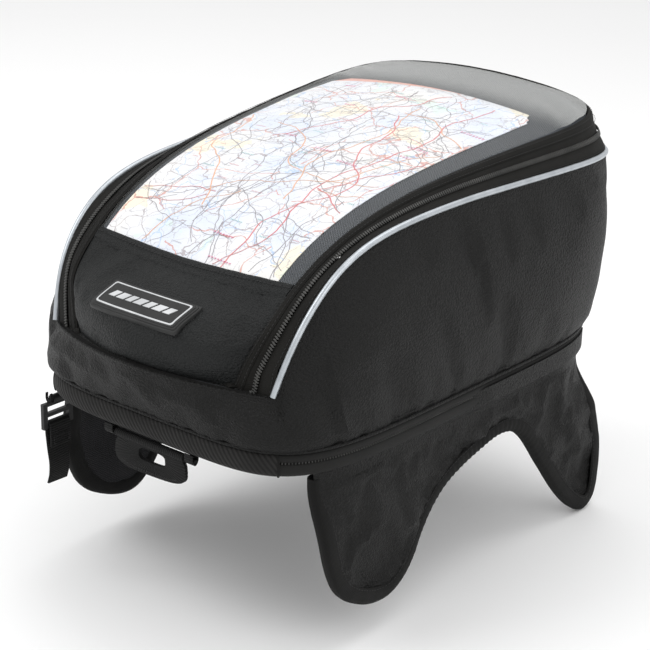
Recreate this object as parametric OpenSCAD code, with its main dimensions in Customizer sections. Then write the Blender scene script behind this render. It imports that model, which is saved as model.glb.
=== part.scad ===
// Motorcycle tank bag: a tapered, padded box with a zipped map-pocket lid, a zipped base
// and two magnetic saddle flaps. Millimetres, +Z up, +Y towards the tall end (the steering
// head), -Y towards the rider. The origin is the middle of the flat underside of the base.

/* [Body] */
// Half width of the hem, where the upper body meets the base
hem_half_w = 132; // [120:1:145]
// Half length of the hem
hem_half_l = 189; // [170:1:205]
// Height of the base band below the hem
base_h = 20; // [14:1:30]
// How far the padded walls swell past a straight line from hem to piping
wall_swell = 7; // [2:0.5:12]
// Height of the piping above the hem at the middle of the bag
piping_rise = 134; // [110:1:150]
// Thickness of the outer leather-look skin
skin_t = 1.4; // [0.8:0.1:2.5]
// Thickness of the foam boards
foam_t = 4; // [2:0.5:6]
// Thickness of the inner lining
lining_t = 0.8; // [0.5:0.1:1.5]

/* [Lid] */
// Half width of the lid panel at mid length
lid_half_w = 103; // [95:1:110]
// Height of the lid edge above the hem at mid length
lid_rise = 151; // [130:1:165]
// Crown of the lid across its width at the tall end
lid_crown_back = 13.5; // [5:0.5:18]
// Distance of the seam between front panel and map window from the bag's middle
window_seam_y = 153; // [140:1:160]
// Width of the folded map
map_w = 190; // [150:1:200]
// Length of the folded map
map_l = 276; // [200:1:290]

/* [Badge] */
// Width of the moulded badge
badge_w = 79; // [50:1:90]
// Height of the moulded badge
badge_h = 30; // [20:1:40]
// Thickness of the moulded badge
badge_t = 2.4; // [1.5:0.1:4]

/* [Saddle flaps] */
// Distance of each flap's middle layer from the bag's middle
flap_x = 123; // [115:1:126]
// Visible width of the binding tape round a flap
flap_binding_w = 11; // [8:0.5:14]
// Radius of a flap magnet
magnet_r = 16; // [10:0.5:18]
// Thickness of a flap magnet
magnet_t = 3; // [2:0.5:3]

/* [Webbing] */
// Width of the strap webbing and of its buckle's slots
webbing_w = 20; // [15:1:25]
// Thickness of the webbing
webbing_t = 1.8; // [1.2:0.1:2.5]
// Length of the loose strap end below its buckle
strap_l = 48; // [30:1:80]

/* [Hidden] */

leather = [0.13, 0.13, 0.14];
tape_black = [0.08, 0.08, 0.08];
webbing_black = [0.1, 0.1, 0.1];
foam_grey = [0.35, 0.35, 0.37];
lining_grey = [0.3, 0.31, 0.33];
board_grey = [0.22, 0.22, 0.24];
silver = [0.72, 0.74, 0.77];
ribbed_blue = [0.24, 0.27, 0.31];
moulded_black = [0.06, 0.06, 0.06];
steel = [0.6, 0.6, 0.62];

loop_n = 72;                 // points round a closed outline
track_n = 56;                // points along the U of piping and zip
hem_power = 5;               // squareness of the hem outline
rim_power = 8;               // squareness of the piping outline
nose_power = 14;             // squareness of the lid's two front corners
nose_y = -212;               // foremost point of the crease between lid and apron
rim_back_y = 191;            // tall-end point of the piping
lid_back_y = 180;            // tall-end edge of the lid panel
nose_bow = 36;               // how far the nose curves back at its corners
rim_half_w = 120;            // half width of the piping at mid length
rim_taper = 0.06;            // gain in half width per unit of length
lid_taper = 0.09;
crease_z = base_h + 45;
crease_droop = 9;
track_end = 45;              // angle where the piping ends at the front corners
edge_end = 6;                // how much further round the lid edge runs
nose_v = -0.992;             // length share where the lid's rolled nose meets the crease
wall_rows = 7;
body_gap = 0.6;              // clearance between the lid and the body
pin_gap = 0.1;               // radial running clearance of every pin

// ---------------------------------------------------------------- curves
function mix(a, b, t) = a + (b - a) * t;
function raised(v, p) = pow(abs(v), p);
function unit_reach(phi, p) = pow(raised(cos(phi), p) + raised(sin(phi), p), -1 / p);
function unit_box(phi, p) = unit_reach(phi, p) * [cos(phi), sin(phi)];
function span_y(v, front, back) = (front + back) / 2 + v * (back - front) / 2;
function nose_shift(u, v) = nose_bow * pow(abs(u), 1.5) * pow(max(0, -v), 6);

// heights of the piping and of the lid edge along the bag: a straight rise with a nose drop
function piping_z(y) =
    base_h + piping_rise + 0.02 * min(0, y) - 0.01 * max(0, y) - 84 * exp(-(y + 177) / 33);
function lid_edge_z(y) = base_h + lid_rise + 0.055 * y - 84 * exp(-(y + 185) / 60);
function lid_crown(y) = lid_crown_back * pow(max(0, y + window_seam_y) / 340, 1.3);
function nose_swell(d) = 0.317 * d + 0.0085 * d * d;
function lid_z(x, y) =
    let (u = abs(x) / (lid_half_w + lid_taper * y))
    lid_edge_z(y) + lid_crown(y) * (1 - u * u)
    + nose_swell(max(0, -window_seam_y - y)) * (1 - pow(min(1, u), 1.5));
function nose_roll(v) = v >= 0 ? 1 : sqrt(1 - pow(min(1, v / nose_v), 36));

// Point of the lid at width share u and length share v (-1..1), sunk by drop
function lid_point(u, v, drop) =
    let (p = v < 0 ? nose_power : rim_power, w = u * pow(max(0, 1 - raised(v, p)), 1 / p),
         y = span_y(v, nose_y + 2, lid_back_y) + nose_shift(w, v),
         x = (lid_half_w + lid_taper * y) * w, roll = nose_roll(v),
         low = crease_z + body_gap - crease_droop * abs(w))
    [x, y + drop * (1 - roll), mix(low, lid_z(x, y) - drop, roll)];

function hem_point(phi) =
    let (q = unit_box(phi, hem_power))
    [hem_half_w * q.x, hem_half_l * q.y, base_h];

function rim_point(phi) =
    let (q = unit_box(phi, rim_power), y = span_y(q.y, nose_y, rim_back_y) + nose_shift(q.x, q.y))
    [(rim_half_w + rim_taper * y) * q.x, y, rim_height(q, y)];
function rim_height(q, y) =
    q.y < -0.9 ? crease_z - crease_droop * abs(q.x)
               : max(crease_z - crease_droop * abs(q.x), piping_z(y));

function lid_edge_point(phi) =
    let (q = unit_box(phi, sin(phi) < 0 ? nose_power : rim_power),
         y = span_y(q.y, nose_y + 2, lid_back_y) + nose_shift(q.x, q.y),
         x = (lid_half_w + lid_taper * y) * q.x, low = crease_z + body_gap - crease_droop * abs(q.x))
    [x, y, mix(low, lid_z(x, y), nose_roll(q.y))];

// k = 0 on the piping, 1 on the lid edge, at share s along the U from corner to corner
function band_phi(s, k) = mix(-track_end - edge_end * k, 180 + track_end + edge_end * k, s);
function band_point(s, k) = mix(rim_point(band_phi(s, 0)), lid_edge_point(band_phi(s, 1)), k);

// outward push of the padded wall at height share u
function wall_point(phi, u, inset) =
    let (h = hem_point(phi), r = rim_point(phi), p = mix(h, r, u),
         swell = wall_swell * sin(180 * pow(u, 0.8)) * (sin(phi) < -0.6 ? 0.3 : 1),
         d = [cos(phi), sin(phi) * 1.1] / norm([cos(phi), sin(phi) * 1.1]))
    [p.x + d.x * (swell - inset), p.y + d.y * (swell - inset), p.z];

function loop_angles() = [for (i = [0:loop_n - 1]) 360 * i / loop_n];
wall_bottom = 0.02;
function wall_levels(top) = [for (i = [0:wall_rows]) min(top, mix(wall_bottom, 1, i / wall_rows))];
function track_shares() = [for (i = [0:track_n]) i / track_n];

// ---------------------------------------------------------------- solids from grids
// Closed solid between two grids of points; rows run up or back, columns run anticlockwise.
module skin(outer, inner, wrap = false) {
    rows = len(outer);
    cols = len(outer[0]);
    last = wrap ? cols - 1 : cols - 2;
    function id(side, i, j) = side * rows * cols + i * cols + j % cols;
    faces = concat(
        [for (i = [0:rows - 2]) for (j = [0:last]) for (f = [
            [id(0, i, j), id(0, i + 1, j), id(0, i + 1, j + 1)],
            [id(0, i, j), id(0, i + 1, j + 1), id(0, i, j + 1)],
            [id(1, i, j), id(1, i + 1, j + 1), id(1, i + 1, j)],
            [id(1, i, j), id(1, i, j + 1), id(1, i + 1, j + 1)]]) f],
        [for (j = [0:last]) for (f = [
            [id(0, 0, j), id(0, 0, j + 1), id(1, 0, j + 1)],
            [id(0, 0, j), id(1, 0, j + 1), id(1, 0, j)],
            [id(0, rows - 1, j), id(1, rows - 1, j + 1), id(0, rows - 1, j + 1)],
            [id(0, rows - 1, j), id(1, rows - 1, j), id(1, rows - 1, j + 1)]]) f],
        wrap ? [] : [for (i = [0:rows - 2]) for (f = [
            [id(0, i, 0), id(1, i + 1, 0), id(0, i + 1, 0)],
            [id(0, i, 0), id(1, i, 0), id(1, i + 1, 0)],
            [id(0, i, cols - 1), id(0, i + 1, cols - 1), id(1, i + 1, cols - 1)],
            [id(0, i, cols - 1), id(1, i + 1, cols - 1), id(1, i, cols - 1)]]) f]);
    points = concat([for (row = outer) for (p = row) p], [for (row = inner) for (p = row) p]);
    polyhedron(points = points, faces = faces, convexity = 8);
}

// Round tube along an open path.
module tube(path, r, sides = 6) {
    count = len(path);
    function along(i) = path[min(count - 1, i + 1)] - path[max(0, i - 1)];
    function ring(i) =
        let (t = along(i) / norm(along(i)), a = cross([0, 0, 1], t), u = a / norm(a), v = cross(t, u))
        [for (s = [0:sides - 1]) path[i] + r * (cos(360 * s / sides) * u + sin(360 * s / sides) * v)];
    points = concat([for (i = [0:count - 1]) for (p = ring(i)) p], [path[0], path[count - 1]]);
    function id(i, s) = i * sides + s % sides;
    faces = concat(
        [for (i = [0:count - 2]) for (s = [0:sides - 1]) for (f = [
            [id(i, s), id(i + 1, s), id(i + 1, s + 1)],
            [id(i, s), id(i + 1, s + 1), id(i, s + 1)]]) f],
        [for (s = [0:sides - 1]) [count * sides, id(0, s), id(0, s + 1)]],
        [for (s = [0:sides - 1]) [count * sides + 1, id(count - 1, s + 1), id(count - 1, s)]]);
    polyhedron(points = points, faces = faces, convexity = 8);
}

// Flat ring or plate with the hem's outline
module outline(half_w, half_l) {
    polygon([for (phi = loop_angles()) let (q = unit_box(phi, hem_power)) [half_w * q.x, half_l * q.y]]);
}
module band_ring(z, h, outer_in, t) {
    translate([0, 0, z]) linear_extrude(h) difference() {
        outline(hem_half_w - outer_in, hem_half_l - outer_in);
        outline(hem_half_w - outer_in - t, hem_half_l - outer_in - t);
    }
}

// ---------------------------------------------------------------- upper body
layer_gap = 0.3;
foam_inset = skin_t + layer_gap;
lining_inset = foam_inset + foam_t + layer_gap;
module wall_layer(angles, inset, t, top, wrap) {
    skin([for (u = wall_levels(top)) [for (phi = angles) wall_point(phi, u, inset)]],
         [for (u = wall_levels(top)) [for (phi = angles) wall_point(phi, u, inset + t)]], wrap);
}
module outer_wall() { color(leather) wall_layer(loop_angles(), 0, skin_t, 1, true); }
module foam_board(from, to) {
    step = 360 / loop_n;
    color(foam_grey) wall_layer([for (phi = [from:step:to]) phi], foam_inset, foam_t, 0.97, false);
}
module foam_board_front() { foam_board(240, 300); }
module foam_board_right() { foam_board(-55, 50); }
module foam_board_rear() { foam_board(55, 125); }
module foam_board_left() { foam_board(130, 235); }
module wall_lining() { color(lining_grey) wall_layer(loop_angles(), lining_inset, lining_t, 0.97, true); }
module floor_board() {
    floor_t = 2.5;
    clear = lining_inset + lining_t + 2;
    color(board_grey) translate([0, 0, base_h]) linear_extrude(floor_t)
        outline(hem_half_w - clear, hem_half_l - clear);
}
module hem_welt() { color(leather) band_ring(base_h - 1.5, 2.1, -1, 2.4); }

// ---------------------------------------------------------------- base
band_top = base_h - 1.5;
band_t = 3;
band_bottom = 4;
corner_x = 105;
module base_band_front() {
    color(webbing_black) intersection() {
        band_ring(band_bottom, band_top - band_bottom, 2, band_t);
        translate([-corner_x, -hem_half_l - 10, 0]) cube([2 * corner_x, 80, base_h]);
    }
}
module base_band_sides() {
    color(tape_black) difference() {
        band_ring(band_bottom, band_top - band_bottom, 2, band_t);
        translate([-corner_x, -hem_half_l - 10, 0]) cube([2 * corner_x, 80, base_h]);
    }
}
module base_zip_coil() {
    coil_h = 2.4;
    color(tape_black) difference() {
        band_ring(12, coil_h, 0.8, 1.2);
        translate([-corner_x, -hem_half_l - 10, 0]) cube([2 * corner_x, 80, base_h]);
    }
}
module base_core() {
    inset = 2 + band_t;
    color(foam_grey) translate([0, 0, band_bottom]) linear_extrude(base_h - band_bottom)
        outline(hem_half_w - inset, hem_half_l - inset);
}
module base_pan() {
    color(board_grey) translate([0, 0, pan_bottom]) linear_extrude(band_bottom - pan_bottom)
        outline(hem_half_w - 2, hem_half_l - 2);
}
pad_clear = 5;               // the pad stays inside the flaps
pad_half_l = 176;
pan_bottom = 2;
module base_grip_pad() {
    color(webbing_black) linear_extrude(pan_bottom) outline(flap_x - pad_clear, pad_half_l);
}

// ---------------------------------------------------------------- crease, piping, lower zip
module crease_welt() {
    steps = 22;
    angles = [for (i = [0:steps]) mix(180 + track_end + 2, 360 - track_end - 2, i / steps)];
    color(leather) tube([for (phi = angles) wall_point(phi, 1, -1.4) + [0, 0, -1.4]], 1.2);
}
module reflective_piping() {
    piping_r = 2.4;
    color(silver) tube([for (s = track_shares()) band_point(s, 0) + [0, 0, 1.2]], piping_r, 8);
}
module band_strip(k0, k1, t, lift, rows = 2) {
    levels = [for (i = [0:rows]) mix(k0, k1, i / rows)];
    skin([for (k = levels) [for (s = track_shares()) band_point(s, k) + lift * band_out(s)]],
         [for (k = levels) [for (s = track_shares()) band_point(s, k) + (lift - t) * band_out(s)]]);
}
function band_out(s) =
    let (phi = band_phi(s, 0), d = [0.5 * cos(phi), 0.5 * sin(phi), 0.8]) d / norm(d);
zip_k = 0.5;
coil_r = 1.1;
module zip_tape_lower() { color(tape_black) band_strip(0.1, zip_k - 0.08, 1, 0.4); }
module zip_coil(k) {
    color(tape_black) tube([for (s = track_shares()) band_point(s, k) + 0.6 * band_out(s)], coil_r);
}
module zip_coil_lower() { zip_coil(zip_k - 0.075); }
module zip_coil_upper() { zip_coil(zip_k + 0.075); }
module zip_tape_upper() { color(tape_black) band_strip(zip_k + 0.08, 0.72, 1, 0.4); }
module lid_edge_band() { color(tape_black) band_strip(0.72, 1, 2, 1, 2); }

// ---------------------------------------------------------------- lid
// Closed layer of the lid over the length shares in vs, from top_drop down by t
module lid_layer(vs, top_drop, t) {
    cols = 12;
    side = 0.98;
    function grid(drop) =
        [for (v = vs) [for (j = [0:cols]) lid_point(mix(-side, side, j / cols), v, drop)]];
    skin(grid(top_drop), grid(top_drop + t));
}
function shares(v0, v1, rows, p) = [for (i = [0:rows]) mix(v0, v1, pow(i / rows, p))];
function length_share(y) = (2 * y - nose_y - 2 - lid_back_y) / (lid_back_y - nose_y - 2);
seam_y = -window_seam_y;
backing_t = 1;
stiffener_t = 3;
panel_t = 2.6;
back_v = 0.975;
seam_v = length_share(seam_y);
nose_shares = shares(nose_v, seam_v, 8, 1.6);
window_shares = shares(seam_v, back_v, 16, 1.5);
inner_shares = concat(nose_shares, [for (i = [1:len(window_shares) - 1]) window_shares[i]]);
stiffener_drop = panel_t + 0.2;
module lid_stiffener() { color(foam_grey) lid_layer(inner_shares, stiffener_drop, stiffener_t); }
module lid_lining() {
    color(lining_grey) lid_layer(inner_shares, stiffener_drop + stiffener_t + 0.2, lining_t);
}
module lid_front_panel() { color(leather) lid_layer(nose_shares, 0, panel_t); }
module window_backing() { color(ribbed_blue) lid_layer(window_shares, panel_t - backing_t, backing_t); }
module map_window() { color([0.8, 0.85, 0.88, 0.35]) lid_layer(window_shares, -0.4, 0.6); }
module window_seam_tape() { color(leather) lid_layer([seam_v - 0.02, seam_v], -1.1, 0.9); }
map_front = seam_y + 5;
map_turn = 15;               // how far the map's right edge drifts outward along its length
map_right = 74;
module map_sheet() {
    rows = 16;
    cols = 10;
    function place(i, j) =
        let (share = pow(i / rows, 1.5), y = mix(map_front, map_front + map_l, share),
             right = map_right + map_turn * share,
             left = max(right - map_w, -0.94 * (lid_half_w + lid_taper * y)))
        [mix(left, right, j / cols), y];
    function sheet_at(drop) =
        [for (i = [0:rows]) [for (j = [0:cols]) let (q = place(i, j)) [q.x, q.y, lid_z(q.x, q.y) - drop]]];
    color("white") skin(sheet_at(0.5), sheet_at(1.3));
}

// Badge: laid on the front panel, turned to the slope at its middle
badge_y = -189;
badge_slope = atan((lid_z(0, badge_y + 10) - lid_z(0, badge_y - 10)) / 20);
module on_front_panel() {
    translate([0, badge_y, lid_z(0, badge_y) + 0.6]) rotate([badge_slope, 0, 0]) children();
}
module badge_base() {
    color(moulded_black) on_front_panel() {
        translate([-badge_w / 2, -badge_h / 2, 0]) cube([badge_w, badge_h, badge_t - 1]);
        translate([-badge_w / 2 + 2, -badge_h / 2 + 2, badge_t - 1]) cube([badge_w - 4, badge_h - 4, 1]);
    }
}
frame_w = 70;
frame_h = 23;
frame_line = 1.2;
module badge_frame() {
    color(silver) on_front_panel() translate([0, 0, badge_t]) linear_extrude(0.5) difference() {
        square([frame_w, frame_h], center = true);
        square([frame_w - 2 * frame_line, frame_h - 2 * frame_line], center = true);
    }
}
module badge_emblem() {
    bar_w = 9;
    color(silver) on_front_panel() translate([0, 0, badge_t]) linear_extrude(0.5)
        for (i = [-2:2]) translate([i * (bar_w + 1.6), 0])
            polygon([[-bar_w / 2 - 2, -3.5], [bar_w / 2 - 2, -3.5], [bar_w / 2 + 2, 3.5], [-bar_w / 2 + 2, 3.5]]);
}

// ---------------------------------------------------------------- zip sliders and pulls
slider_x = 12;
slider_mid = band_point(0.5, zip_k) + 3 * band_out(0.5);
slider_tilt = atan2(lid_edge_point(90).z - rim_point(90).z, rim_point(90).y - lid_edge_point(90).y);
slider_w = 9;
slider_l = 12;
slider_t = 2;
bail_r = 1.6;
pivot_y = rim_back_y + 6.5;
pivot_z = slider_mid.z + 1;
module slider(side) {
    color(moulded_black) {
        translate([side * slider_x, slider_mid.y, slider_mid.z]) rotate([180 - slider_tilt, 0, 0])
            translate([-slider_l / 2, -slider_w / 2, -slider_t]) cube([slider_l, slider_w, slider_t]);
        for (end = [-1, 1]) translate([side * slider_x + end * 4.4 - 0.9, slider_mid.y + 1, pivot_z - bail_r])
            cube([1.8, pivot_y - slider_mid.y - 1, 2 * bail_r]);
        translate([side * slider_x - 5.3, pivot_y, pivot_z]) rotate([0, 90, 0])
            cylinder(r = bail_r / 2, h = 10.6, $fn = 24);
    }
}
module slider_right() { slider(1); }
module slider_left() { slider(-1); }
pull_l = 30;
module pull(side) {
    color(moulded_black) translate([side * slider_x, pivot_y, pivot_z]) difference() {
        union() {
            translate([-2.8, 0, 0]) rotate([0, 90, 0]) cylinder(r = 2.4, h = 5.6, $fn = 32);
            translate([-2.8, -1, -pull_l]) cube([5.6, 2, pull_l]);
        }
        translate([-4, 0, 0]) rotate([0, 90, 0]) cylinder(r = bail_r / 2 + pin_gap, h = 8, $fn = 32);
    }
}
module pull_right() { pull(1); }
module pull_left() { pull(-1); }

// ---------------------------------------------------------------- saddle flaps
flap_top = -7;
flap_hinge_z = -4;
flap_shape = [
    [-157, -7], [-153, -48], [-138, -88], [-111, -107], [-83, -111], [-62, -97], [-44, -70],
    [-18, -48], [16, -37], [50, -32], [76, -44], [104, -78], [134, -114], [163, -135],
    [183, -124], [185, -86], [173, -42], [161, -7]
];
// Smooth curve through the shape's points
function spline_point(p, i, t) =
    let (a = p[max(0, i - 1)], b = p[i], c = p[i + 1], d = p[min(len(p) - 1, i + 2)])
    0.5 * ((2 * b) + (c - a) * t + (2 * a - 5 * b + 4 * c - d) * t * t
           + (3 * b - a - 3 * c + d) * t * t * t);
function spline(p, steps) =
    concat([for (i = [0:len(p) - 2]) for (s = [0:steps - 1]) spline_point(p, i, s / steps)], [p[len(p) - 1]]);
function shifted(p, d) =
    [for (i = [0:len(p) - 1])
        let (t = p[min(len(p) - 1, i + 1)] - p[max(0, i - 1)], n = [-t.y, t.x] / norm(t)) p[i] + d * n];
flap_edge = spline(flap_shape, 4);
lining_layer = [-3, 1];
core_layer = [-2, 3.5];
cover_layer = [1.5, 1.5];

// A plate in the Y-Z plane; side -1 mirrors it to the left flap
module flap_plate(side, from, t) {
    mirror([side < 0 ? 1 : 0, 0, 0]) translate([flap_x + from, 0, 0])
        rotate([90, 0, 90]) linear_extrude(t) children();
}
module flap_cover(side) {
    color(leather) flap_plate(side, cover_layer[0], cover_layer[1]) polygon(flap_edge);
}
// The lining stands proud inside the binding, so that its flat face is what meets the tank
module flap_lining(side) {
    proud = 1;
    color(webbing_black) {
        flap_plate(side, lining_layer[0], lining_layer[1]) polygon(flap_edge);
        flap_plate(side, lining_layer[0] - proud, proud) polygon(shifted(flap_edge, flap_binding_w + 1));
    }
}
magnet_spots = [[-102, -78], [160, -106]];
module flap_core(side) {
    color(foam_grey) difference() {
        flap_plate(side, core_layer[0], core_layer[1]) polygon(shifted(flap_edge, 1.5));
        flap_magnets(side, 0.2);
    }
}
module flap_magnets(side, gap = 0) {
    color(steel) for (spot = magnet_spots)
        mirror([side < 0 ? 1 : 0, 0, 0])
            translate([flap_x + core_layer[0] - gap, spot[0], spot[1]]) rotate([0, 90, 0])
                cylinder(r = magnet_r + gap, h = magnet_t + 2 * gap, $fn = 64);
}
module flap_binding(side) {
    wrap_t = 0.8;
    color(tape_black) difference() {
        flap_plate(side, lining_layer[0] - wrap_t, 6 + 2 * wrap_t) difference() {
            polygon(shifted(flap_edge, -wrap_t));
            polygon(concat([[flap_edge[0].x + flap_binding_w, 1]], shifted(flap_edge, flap_binding_w),
                           [[flap_edge[len(flap_edge) - 1].x - flap_binding_w, 1]]));
        }
        flap_plate(side, lining_layer[0], 6) polygon(flap_edge);
    }
}
module flap_seam(side) {
    color(tape_black) mirror([side < 0 ? 1 : 0, 0, 0])
        translate([flap_x - 1, -150, -3.4]) cube([2, 300, 3.4 + pan_bottom]);
}
module flap_seam_right() { flap_seam(1); }
module flap_cover_right() { flap_cover(1); }
module flap_core_right() { flap_core(1); }
module flap_lining_right() { flap_lining(1); }
module flap_binding_right() { flap_binding(1); }
module flap_magnets_right() { flap_magnets(1); }
module flap_seam_left() { flap_seam(-1); }
module flap_cover_left() { flap_cover(-1); }
module flap_core_left() { flap_core(-1); }
module flap_lining_left() { flap_lining(-1); }
module flap_binding_left() { flap_binding(-1); }
module flap_magnets_left() { flap_magnets(-1); }

// ---------------------------------------------------------------- carry loop at the rider end
loop_y = -184;
loop_pin_r = 1.5;
module loop_anchor() {
    color(webbing_black) {
        for (x = [-44, 32]) translate([x, loop_y - 2, -4.5]) cube([8, 4, 4.5 + pan_bottom]);
        translate([-44, loop_y, -4.5]) rotate([0, 90, 0]) cylinder(r = loop_pin_r, h = 84, $fn = 32);
    }
}
module carry_loop() {
    color(webbing_black) difference() {
        union() {
            translate([-34.6, loop_y, -4.5]) rotate([0, 90, 0]) cylinder(r = 3, h = 65.2, $fn = 40);
            translate([-34.6, loop_y - 1.3, -27]) cube([65.2, 2.6, 22.5]);
        }
        translate([-40, loop_y, -4.5]) rotate([0, 90, 0]) cylinder(r = loop_pin_r + pin_gap, h = 80, $fn = 40);
        translate([-12, loop_y - 5, -17.5]) cube([24, 10, 8.5]);
    }
}

// ---------------------------------------------------------------- strap and buckle, left front corner
strap_x = -109;
strap_mid_y = -172;
lock_w = webbing_w + 8;
lock_t = 3;
bar_r = 1.5;
hub_r = 3;
lock_pivot_z = -4.5;
slot_top = -9;
slot_h = 5;
lower_bar_z = -24;
cheek_w = (lock_w - webbing_w) / 2;
// Cylinder along Y, centred on the strap
module cross_bar(r, l, z) {
    translate([strap_x, strap_mid_y - l / 2, z]) rotate([-90, 0, 0]) cylinder(r = r, h = l, $fn = 40);
}
module strap_block(t, w, low, high) {
    translate([strap_x - t / 2, strap_mid_y - w / 2, low]) cube([t, w, high - low]);
}
module buckle_tab() {
    ear = 2;
    gap = 12;
    color(webbing_black) {
        for (side = [-1, 1]) translate([0, side * (gap + ear) / 2, 0]) strap_block(3, ear, lock_pivot_z, pan_bottom);
        cross_bar(bar_r, gap + 2 * ear, lock_pivot_z);
    }
}
module ladder_lock() {
    color(moulded_black) difference() {
        union() {
            strap_block(lock_t, lock_w, lower_bar_z + 7, slot_top + 2.5);
            for (side = [-1, 1]) translate([0, side * (lock_w - cheek_w) / 2, 0])
                strap_block(lock_t, cheek_w, lower_bar_z - 2, lower_bar_z + 7);
            cross_bar(bar_r, lock_w - 2, lower_bar_z);
            cross_bar(hub_r, 10, lock_pivot_z);
            strap_block(lock_t, 10, slot_top, lock_pivot_z);
        }
        cross_bar(bar_r + pin_gap, 20, lock_pivot_z);
        strap_block(3 * lock_t, webbing_w, slot_top - slot_h, slot_top);
    }
}
module tail_strap() {
    strap_w = webbing_w - 1;
    color(webbing_black) difference() {
        union() {
            cross_bar(hub_r, strap_w, lower_bar_z);
            strap_block(webbing_t, strap_w, lower_bar_z - strap_l, lower_bar_z);
        }
        cross_bar(bar_r + pin_gap, 2 * strap_w, lower_bar_z);
    }
}

outer_wall();
foam_board_front();
foam_board_right();
foam_board_rear();
foam_board_left();
wall_lining();
floor_board();
hem_welt();
base_band_front();
base_band_sides();
base_zip_coil();
base_core();
base_pan();
base_grip_pad();
crease_welt();
reflective_piping();
zip_tape_lower();
zip_coil_lower();
lid_stiffener();
lid_lining();
lid_front_panel();
lid_edge_band();
zip_tape_upper();
zip_coil_upper();
window_backing();
map_sheet();
map_window();
window_seam_tape();
badge_base();
badge_frame();
badge_emblem();
slider_right();
slider_left();
pull_right();
pull_left();
flap_seam_right();
flap_cover_right();
flap_core_right();
flap_lining_right();
flap_binding_right();
flap_magnets_right();
flap_seam_left();
flap_cover_left();
flap_core_left();
flap_lining_left();
flap_binding_left();
flap_magnets_left();
loop_anchor();
carry_loop();
buckle_tab();
ladder_lock();
tail_strap();
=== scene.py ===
import math
import random

import bmesh
import bpy
import numpy as np
from mathutils import Matrix, Vector, geometry, noise


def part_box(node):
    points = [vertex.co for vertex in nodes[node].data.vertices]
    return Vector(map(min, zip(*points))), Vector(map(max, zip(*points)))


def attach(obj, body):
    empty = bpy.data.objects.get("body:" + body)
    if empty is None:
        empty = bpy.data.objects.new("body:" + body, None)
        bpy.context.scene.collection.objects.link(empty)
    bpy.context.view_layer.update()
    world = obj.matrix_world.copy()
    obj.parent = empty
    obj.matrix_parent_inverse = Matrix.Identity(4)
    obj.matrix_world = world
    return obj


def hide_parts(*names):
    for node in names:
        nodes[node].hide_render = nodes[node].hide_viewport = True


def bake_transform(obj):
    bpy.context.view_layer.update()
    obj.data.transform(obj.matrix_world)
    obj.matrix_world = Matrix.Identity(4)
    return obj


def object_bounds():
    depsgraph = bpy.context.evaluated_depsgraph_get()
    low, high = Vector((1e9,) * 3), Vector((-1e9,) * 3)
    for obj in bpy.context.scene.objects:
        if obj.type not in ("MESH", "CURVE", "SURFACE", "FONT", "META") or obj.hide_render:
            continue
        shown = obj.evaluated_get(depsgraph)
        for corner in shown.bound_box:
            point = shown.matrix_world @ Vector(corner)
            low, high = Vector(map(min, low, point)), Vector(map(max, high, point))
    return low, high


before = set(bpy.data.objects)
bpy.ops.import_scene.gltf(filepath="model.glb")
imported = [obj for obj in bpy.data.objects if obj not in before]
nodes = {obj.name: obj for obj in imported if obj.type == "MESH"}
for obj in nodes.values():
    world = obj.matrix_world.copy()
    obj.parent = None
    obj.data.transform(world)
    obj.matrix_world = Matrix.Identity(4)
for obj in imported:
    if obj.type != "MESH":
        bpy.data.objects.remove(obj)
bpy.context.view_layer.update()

# The curves below are in millimetres, in the frame's axes; every mesh is scaled to metres as it is made.
MM = 0.001


def node_box(name):
    low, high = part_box(name)
    return low / MM, high / MM


def node_middles(name):
    """(y, z) middles of a node's front and rear halves."""
    points = [nodes[name].matrix_world @ v.co / MM for v in nodes[name].data.vertices]
    halves = [[p for p in points if p.y < 0], [p for p in points if p.y >= 0]]
    return [((min(p.y for p in h) + max(p.y for p in h)) / 2, (min(p.z for p in h) + max(p.z for p in h)) / 2)
            for h in halves]


# ------------------------------------------------------------------ driving dimensions
_, pan_high = node_box("base_pan")
HEM_W = pan_high.x + 2
HEM_L = pan_high.y + 2
BASE_H = node_box("floor_board")[0].z
HEM_POWER = 5
RIM_POWER = 8
NOSE_POWER = 14
WALL_SWELL = 7
NOSE_Y = -212
RIM_BACK_Y = 191
LID_BACK_Y = 180
NOSE_BOW = 36
NOSE_V = -0.992
RIM_W, RIM_TAPER = 120, 0.06
LID_W, LID_TAPER = 103, 0.09
CREASE_Z = BASE_H + 45
CREASE_DROOP = 9
SEAM_Y = -153
BACK_V = 0.995
TRACK_END = 45
EDGE_END = 6
PANEL_T = 2.6
BADGE_Y = -189
STIFFENER_T = 3
SKIN_T = 1.4
FOAM_T = 4
FLAP_X = 123


# ------------------------------------------------------------------ the bag's curves
def mix(a, b, t):
    return a + (b - a) * t


def unit_box(degrees, power):
    c, s = math.cos(math.radians(degrees)), math.sin(math.radians(degrees))
    reach = (abs(c) ** power + abs(s) ** power) ** (-1 / power)
    return c * reach, s * reach


def span_y(v, front, back):
    return (front + back) / 2 + v * (back - front) / 2


def nose_shift(u, v):
    return NOSE_BOW * abs(u) ** 1.5 * max(0, -v) ** 6


def piping_z(y):
    return BASE_H + 134 + 0.02 * min(0, y) - 0.01 * max(0, y) - 84 * math.exp(-(y + 177) / 33)


def lid_edge_z(y):
    return BASE_H + 151 + 0.055 * y - 84 * math.exp(-(y + 185) / 60)


def lid_z(x, y):
    u = abs(x) / (LID_W + LID_TAPER * y)
    crown = 13.5 * (max(0, y - SEAM_Y) / 340) ** 1.3
    ahead = max(0, SEAM_Y - y)
    swell = 0.317 * ahead + 0.0085 * ahead * ahead
    return lid_edge_z(y) + crown * (1 - u * u) + swell * (1 - min(1, u) ** 1.5)


def nose_roll(v):
    return 1 if v >= 0 else math.sqrt(1 - min(1, v / NOSE_V) ** 36)


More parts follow.
